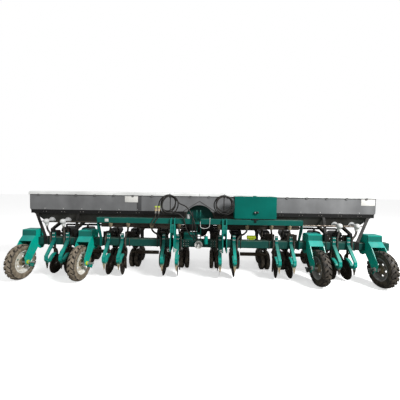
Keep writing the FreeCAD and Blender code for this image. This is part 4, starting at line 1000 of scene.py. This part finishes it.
def make_springs():
    """Down-pressure spring between each row unit's parallel arms."""
    shape = bmesh.new()
    coils, per_coil = 9, 12
    for x in ROWS:
        low, high = at(x, 0.190, 0.655), at(x, 0.375, 0.715)
        axis = (high - low).normalized()
        side = axis.orthogonal().normalized()
        across = axis.cross(side)
        line = []
        for k in range(coils * per_coil + 1):
            turn = 2 * math.pi * k / per_coil
            middle = low.lerp(high, k / (coils * per_coil))
            line.append(middle + 0.020 * (math.cos(turn) * side + math.sin(turn) * across))
        pipe(shape, line, 0.0035, 6)
    finished("down_springs", shape, paint("spring_black", (0.03, 0.03, 0.03), 0.4))


def make_disc_nuts():
    """Five nuts on the outer face of each opener disc's hub."""
    steel = bare_steel("cap_steel", (0.30, 0.29, 0.27), (0.12, 0.09, 0.06), 0.6)
    for body, joint in JOINTS.items():
        if not body.startswith("opener_discs"):
            continue
        number = int(body[-2:])
        axis = Vector(joint["axis"]).normalized()
        out = axis if number % 2 else -axis
        where = facing(Vector(joint["pos_m"]), out)
        shape = bmesh.new()
        for turn in around(5):
            bolt(shape, where @ polar(0.034, turn, 0.016), out, 0.008)
        finished(f"disc_nuts_{number:02d}", shape, steel, body)


def make_rail_trim():
    """The bent rod that hangs on the front rail and the filter canister on top of it."""
    rod, canister = shapes(2)
    pipe(rod, smooth_line(all_at((
        (0.030, RAIL_MIDDLE, 1.190), (0.030, -0.300, 1.192), (0.030, -0.304, 1.150), (0.030, -0.303, 1.060),
        (0.034, RAIL_FACE, 1.030), (0.070, RAIL_FACE, 1.014), (0.120, RAIL_FACE, 1.008),
        (0.170, RAIL_FACE, 1.018), (0.200, RAIL_FACE, 1.045), (0.205, -0.303, 1.090), (0.207, -0.304, 1.160),
        (0.207, -0.300, 1.200), (0.212, -0.270, 1.206),
    )), 0.010), 0.0045, 8)
    lathe(canister, [
        (0, 0), (0.030, 0), (0.034, 0.004), (0.034, 0.050), (0.031, 0.053), (0.031, 0.058),
        (0.034, 0.061), (0.034, 0.070), (0.022, 0.076), (0.012, 0.077), (0.012, 0.088), (0, 0.088),
    ], facing(at(-0.195, RAIL_MIDDLE, 1.186), UP), 28)
    finished("hanging_rod", rod, bare_steel("rod_zinc", (0.78, 0.78, 0.76), (0.5, 0.45, 0.4), 0.2, 0.3))
    finished("filter_canister", canister, plastic("canister_grey", (0.48, 0.49, 0.49), 0.35))


def make_meter_cups():
    """Dusty collecting cups below the inner metering units and clear domes on the outer ones, with
    the hexagon shaft that drives them."""
    cups, domes, shafts = shapes(3)
    dome = [
        (0, 0.052), (0.020, 0.050), (0.038, 0.040), (0.048, 0.022), (0.050, 0), (0.052, -0.004),
        (0.052, -0.012), (0, -0.012),
    ]
    cup = [
        (0.0245, -0.034), (0.030, -0.034), (0.036, -0.006), (0.040, 0.022), (0.042, 0.024),
        (0.042, 0.032), (0.0245, 0.032),
    ]
    for meter in METERS:
        outside = meter > OUTER_METERS
        for x in (meter, -meter):
            if outside:
                lathe(domes, dome, facing(at(x, -0.010, 1.056), (0, -1, 0.15)), 28)
            lathe(domes if outside else cups, cup, facing(at(x, METER_Y, 1.000), UP), 24, closed=True)
    for side in SIDES:
        start, end = sorted((side * (METERS[-1] - 0.050), side * (METERS[0] + 0.110)))
        lathe(shafts, [(0, 0), (0.009, 0), (0.009, end - start), (0, end - start)],
              facing(at(start, METER_Y + 0.002, 1.052), RIGHT), 6)
    finished("meter_cups", cups, plastic("cup_tan", TAN, 0.4, dust=0.5))
    finished("meter_domes", domes, plastic("dome_clear", (0.66, 0.67, 0.66), 0.12))
    finished("meter_shafts", shafts, bare_steel("shaft_steel", (0.10, 0.085, 0.07), (0.10, 0.06, 0.035), 0.6))


def make_u_bolts():
    """Pairs of U-bolts that clamp each row unit's bracket to the toolbar."""
    shape = bmesh.new()
    half, tall = 0.006, (BAR_HIGH.z - BAR_LOW.z) / 2
    middle_z = (BAR_HIGH.z + BAR_LOW.z) / 2
    front, back = BAR_FRONT - half, -BAR_FRONT + 0.012
    high, low = middle_z + tall + half, middle_z - tall - half
    for x in ROWS:
        for shift in (-0.048, 0.048):
            line = [at(x + shift, *place) for place in (
                (back, high), (front + 0.014, high), (front + 0.004, high - 0.003), (front, high - 0.014),
                (front, low + 0.014), (front + 0.004, low + 0.003), (front + 0.014, low), (back, low),
            )]
            pipe(shape, line, half, 8)
    finished("u_bolts", shape, bare_steel("u_bolt_steel", (0.10, 0.10, 0.095), (0.09, 0.06, 0.04), 0.6))


def make_drive_guard():
    """Shield round the gearbox's input shaft with its flange bolts, and rows of bolts on the toolbar's front on
    either side of it.
    """
    shape, bolts = shapes(2)
    where = facing(at(0, -0.206, 0.690), FRONT)
    lathe(shape, [(0.030, 0.0), (0.052, 0.0), (0.056, 0.006), (0.062, 0.020), (0.072, 0.060), (0.074, 0.075),
                  (0.071, 0.075), (0.068, 0.060), (0.058, 0.022), (0.050, 0.008), (0.030, 0.006)],
          where, 32, closed=True)
    for turn in around(6):
        bolt(bolts, where @ polar(0.043, turn, 0.006), FRONT, 0.007)
    for x in (-0.300, -0.255, -0.210, 0.245, 0.290, 0.335):
        for z in (0.625, 0.665, 0.715):
            bolt(bolts, at(x, BAR_FRONT, z), FRONT, 0.008)
    finished("drive_guard", shape, plastic("guard_pale", (0.60, 0.60, 0.58), 0.4))
    zinc = bare_steel("plate_bolt_zinc", (0.55, 0.55, 0.53), (0.3, 0.26, 0.2), 0.4, 0.5)
    finished("plate_bolts", bolts, zinc)


def make_box_trim():
    """Handle and lock on the control box's door, and the black bracket below the box."""
    latch, lock, bracket = shapes(3)
    slab(latch, (0.085, 0.014, 0.036), (1.060, -0.319, 1.323), 0.006)
    slab(latch, (0.030, 0.030, 0.030), (1.085, -0.330, 1.323), 0.008)
    lathe(lock, knob(0.011, 0.012), facing(at(1.036, -0.326, 1.323), FRONT), 20)
    slab(bracket, (0.130, 0.050, 0.022), (1.050, -0.285, 1.196), 0.004)
    slab(bracket, (0.040, 0.012, 0.060), (1.050, -0.303, 1.166), 0.004)
    chrome = bare_steel("lock_chrome", (0.7, 0.7, 0.7), (0.4, 0.38, 0.35), 0.1)
    finished("door_handle", latch, plastic("handle_black", SOOT, 0.3), "control_box_door")
    finished("door_lock", lock, chrome, "control_box_door")
    finished("box_bracket", bracket, paint("bracket_dark", SOOT, 0.5))


def make_belt_guard():
    """Belt guard and gear plate below the fan."""
    guard, plate = shapes(2)
    arch, middle_x, middle_z, foot, reach = 0.128, -0.075, 0.985, 0.918, 0.195
    outline = [(middle_x + arch, foot)]
    half_round = around(48)[:25]
    outline += [(middle_x + arch * math.cos(turn), middle_z + arch * math.sin(turn)) for turn in half_round]
    outline += [(middle_x - arch, foot)]
    rows = []
    for y, inset in ((0.070, 0.0), (0.004, 0.0), (-0.004, 0.008), (-0.004, 0.030), (-0.010, 0.036)):
        rows.append([
            guard.verts.new(at(
                middle_x + (x - middle_x) * (1 - inset / arch), y, foot + (z - foot) * (1 - inset / reach)
            ))
            for x, z in outline
        ])
    bridge_all(guard, rows)
    guard.faces.new(rows[0])
    guard.faces.new(rows[-1])
    slab(plate, (0.300, 0.130, 0.014), (-0.130, -0.070, 0.890), 0.003)
    slab(plate, (0.300, 0.010, 0.040), (-0.130, -0.136, 0.878), 0.003)
    slab(plate, (0.250, 0.012, 0.150), (-0.175, -0.060, 0.820), 0.003)
    finished("belt_guard", guard, plastic("guard_black", SOOT, 0.35))
    finished("gear_plate", plate, paint("gear_plate_green", (0.002, 0.130, 0.105)))


def make_arch_trim():
    """The seal of the hopper's arch and the beads of the gable over it."""
    seal, beads = shapes(2)
    low, high = ARCH_FOOT, ARCH_TOP - ARCH_RADIUS
    line = [(ARCH_RADIUS, low + (high - low) * k / 6) for k in range(6)]
    line += [(ARCH_RADIUS * math.cos(turn), high + ARCH_RADIUS * math.sin(turn)) for turn in around(80)[:41]]
    line += [(-ARCH_RADIUS, high + (low - high) * k / 6) for k in range(1, 7)]
    pipe(seal, [at(x, 0.240, z) for x, z in line], 0.010, 10)
    for side in SIDES:
        foot = at(side * 0.340, HOPPER_FRONT - 0.009, HOPPER_KNEE + 0.008)
        top = at(0, HOPPER_FRONT - 0.009, 1.500)
        pipe(beads, [foot.lerp(top, k / 8) for k in range(9)], 0.005, 8)
    finished("arch_seal", seal, rubber("seal_black", SOOT, 0.2))
    finished("gable_beads", beads, paint("bead_dark", (0.050, 0.050, 0.050), 0.5))


def make_hitch_trim():
    """The webs of the hitch brackets, and at the holes of the link pins a bushing on the outside of
    each plate, a ring and a small clip pin. The holes themselves are open."""
    webs, rings = shapes(2)
    band = [(0.0192, 0.0), (0.032, 0.0), (0.032, 0.006), (0.029, 0.009), (0.0192, 0.009)]
    for side in SIDES:
        middle = side * HITCH_X
        for z, y in ((1.045, -0.341), (0.965, -0.358)):
            where = Matrix.Translation(at(middle, y, z)) @ Matrix.Rotation(-0.21, 4, "X")
            block(webs, (0.056, 0.008, 0.082), where)
        for out in SIDES:
            lathe(rings, band, facing(at(middle + out * HITCH_HALF, *PIN), RIGHT * out), 28, closed=True)
        for out in SIDES:
            shift = out * 0.062
            hung = at(middle + shift, PIN[0] - 0.030, PIN[1] - 0.004)
            pipe(rings, [
                hung + Vector((0.020 * math.cos(turn), 0, 0.024 * math.sin(turn)))
                for turn in around(20, closed=True)
            ], 0.0035, 8)
            clip = facing(at(middle + shift * 0.72, *PIN), RIGHT * out)
            lathe(rings, knob(0.0055, 0.050), clip, 12)
    finished("hitch_webs", webs, paint("web_green", (0.001, 0.150, 0.120)))
    zinc = bare_steel("bushing_zinc", (0.72, 0.72, 0.70), (0.4, 0.36, 0.3), 0.2, 0.4)
    finished("pin_bushings", rings, zinc)


def make_meter_channel():
    """Dusty channel along the bottom of the hopper, behind the metering units."""
    shape = bmesh.new()
    for side in SIDES:
        slab(shape, (1.640, 0.045, 0.085), (side * 1.180, 0.072, 0.994), 0.004)
        for k in range(9):
            bolt(shape, at(side * (0.400 + 0.195 * k), 0.0495, 0.985), FRONT, 0.008)
    finished("meter_channel", shape, paint("channel_brown", (0.040, 0.032, 0.025), 0.6, dust=0.3))


def rounded_ring(shape, middle, size, corner, steps=5):
    """Corners of a level rectangle with round corners."""
    ring = []
    for quarter, (right, back) in enumerate(((1, 1), (-1, 1), (-1, -1), (1, -1))):
        for k in range(steps + 1):
            turn = (quarter + k / steps) * math.pi / 2
            ring.append(shape.verts.new(middle + Vector((
                right * (size[0] / 2 - corner) + corner * math.cos(turn),
                back * (size[1] / 2 - corner) + corner * math.sin(turn), 0,
            ))))
    return ring


def loft(shape, x, y, sections):
    """A closed form through level sections: height, width, depth and corner radius of each."""
    rings = [rounded_ring(shape, at(x, y, z), (wide, deep), corner) for z, wide, deep, corner in sections]
    bridge_all(shape, rings)
    shape.faces.new(rings[0])
    shape.faces.new(rings[-1])


def make_seed_bins():
    """Each row unit's seed meter with its bin, lid and latch."""
    bins, lids, meters, trim = shapes(4)
    half_meter = [
        (0, -0.045), (0.040, -0.045), (0.044, -0.038), (0.104, -0.038), (0.108, -0.045), (0.118, -0.043),
        (0.120, -0.036), (0.120, -0.006), (0.116, -0.003),
    ]
    for x in ROWS:
        loft(bins, x, SEED_Y, [
            (0.640, 0.088, 0.110, 0.015), (0.690, 0.120, 0.160, 0.025), (0.755, 0.188, 0.256, 0.030),
            (0.772, 0.196, 0.266, 0.030), (0.790, 0.198, 0.268, 0.030),
        ])
        loft(lids, x, SEED_Y, [
            (0.780, 0.200, 0.270, 0.030), (0.778, 0.212, 0.282, 0.034), (0.792, 0.214, 0.284, 0.036),
            (0.838, 0.204, 0.274, 0.044), (0.854, 0.184, 0.254, 0.046), (0.860, 0.150, 0.220, 0.046),
        ])
        for shift in (-0.045, 0.0, 0.045):
            slab(lids, (0.012, 0.190, 0.008), (x + shift, SEED_Y, 0.860), 0.003)
        lathe(meters, mirrored(half_meter), facing(at(x, SEED_Y, SEED_METER_Z), RIGHT), 40)
        for turn in around(6, 0.5):
            y, z = SEED_Y + 0.085 * math.cos(turn), SEED_METER_Z + 0.085 * math.sin(turn)
            for side in SIDES:
                bolt(trim, at(x + side * 0.038, y, z), RIGHT * side, 0.008)
        for side in SIDES:
            slab(trim, (0.030, 0.008, 0.040), (x, SEED_Y + side * 0.143, 0.795), 0.003)
    black = plastic("seed_black", (0.010, 0.010, 0.011), 0.28, dust=0.3)
    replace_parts(finished("seed_bins", bins, black), "seed_hoppers")
    finished("seed_bin_lids", lids, black)
    finished("seed_meters", meters, plastic("seed_meter_grey", (0.022, 0.021, 0.020), 0.35, dust=0.3))
    finished("seed_trim", trim, bare_steel("seed_trim_steel", (0.24, 0.23, 0.21), (0.12, 0.09, 0.06), 0.5))


def make_link_sleeves():
    """Dusty sleeves on the bars between the row units."""
    shape = bmesh.new()
    sleeve = mirrored([(0.0225, -0.225), (0.036, -0.225), (0.038, -0.221)])
    for gap in (-2, -1, 1, 2):
        lathe(shape, sleeve, facing(at(gap * RIDGE_PITCH, 0.330, 0.372), RIGHT), 24, closed=True)
    finished("link_sleeves", shape, paint("sleeve_brown", (0.060, 0.046, 0.033), 0.6, dust=0.5))


def make_air_hoses():
    """Suction hoses from a manifold below the fan to the seed meters, side by side under the
    hopper; each leaves the bundle at its row."""
    hoses, manifold = shapes(2)
    slab(manifold, (0.300, 0.150, 0.110), (0, 0.345, 0.928), 0.012)
    for number, row in enumerate(sorted(x for x in ROWS if x > 0)):
        lane_y, lane_z = 0.390 - 0.045 * (number % 3), 0.905 + 0.045 * (number // 3)
        near = row - 0.080
        route = [
            (0.140, lane_y, lane_z), (near - 0.090, lane_y, lane_z), (near - 0.010, lane_y, lane_z),
            (near, 0.385, 0.850), (near, 0.380, 0.770), (near, 0.405, 0.690), (near + 0.004, 0.480, 0.625),
            (near + 0.020, 0.530, 0.600), (near + 0.040, 0.556, 0.592),
        ]
        for side in SIDES:
            line = smooth_line([at(side * x, y, z) for x, y, z in route], 0.012)
            pipe(hoses, line, lambda k: (0.0180, 0.0195)[k % 2], 8)
    finished("air_hoses", hoses, rubber("air_hose_black", SOOT, 0.25))
    finished("air_manifold", manifold, plastic("manifold_black", SOOT, 0.35))


bpy.context.scene.view_settings.view_transform = "Standard"
make_camera()
make_world()
make_lamp("key", (7.0, -6.0, 7.5), (0.4, 0, 0.9), 1500, 2.5)
make_lamp("fill", (-6.0, -8.0, 4.0), (0, 0, 0.9), 90, 5.0)
make_floor()
dress_nodes()
make_coils()
make_coil_fittings()
make_hoses()
make_ground_wheels()
make_fork_ends()
make_strap_bolts()
make_hopper_trim()
make_springs()
make_disc_nuts()
make_rail_trim()
make_meter_cups()
make_u_bolts()
make_drive_guard()
make_box_trim()
make_belt_guard()
make_arch_trim()
make_hitch_trim()
make_meter_channel()
make_seed_bins()
make_link_sleeves()
make_air_hoses()
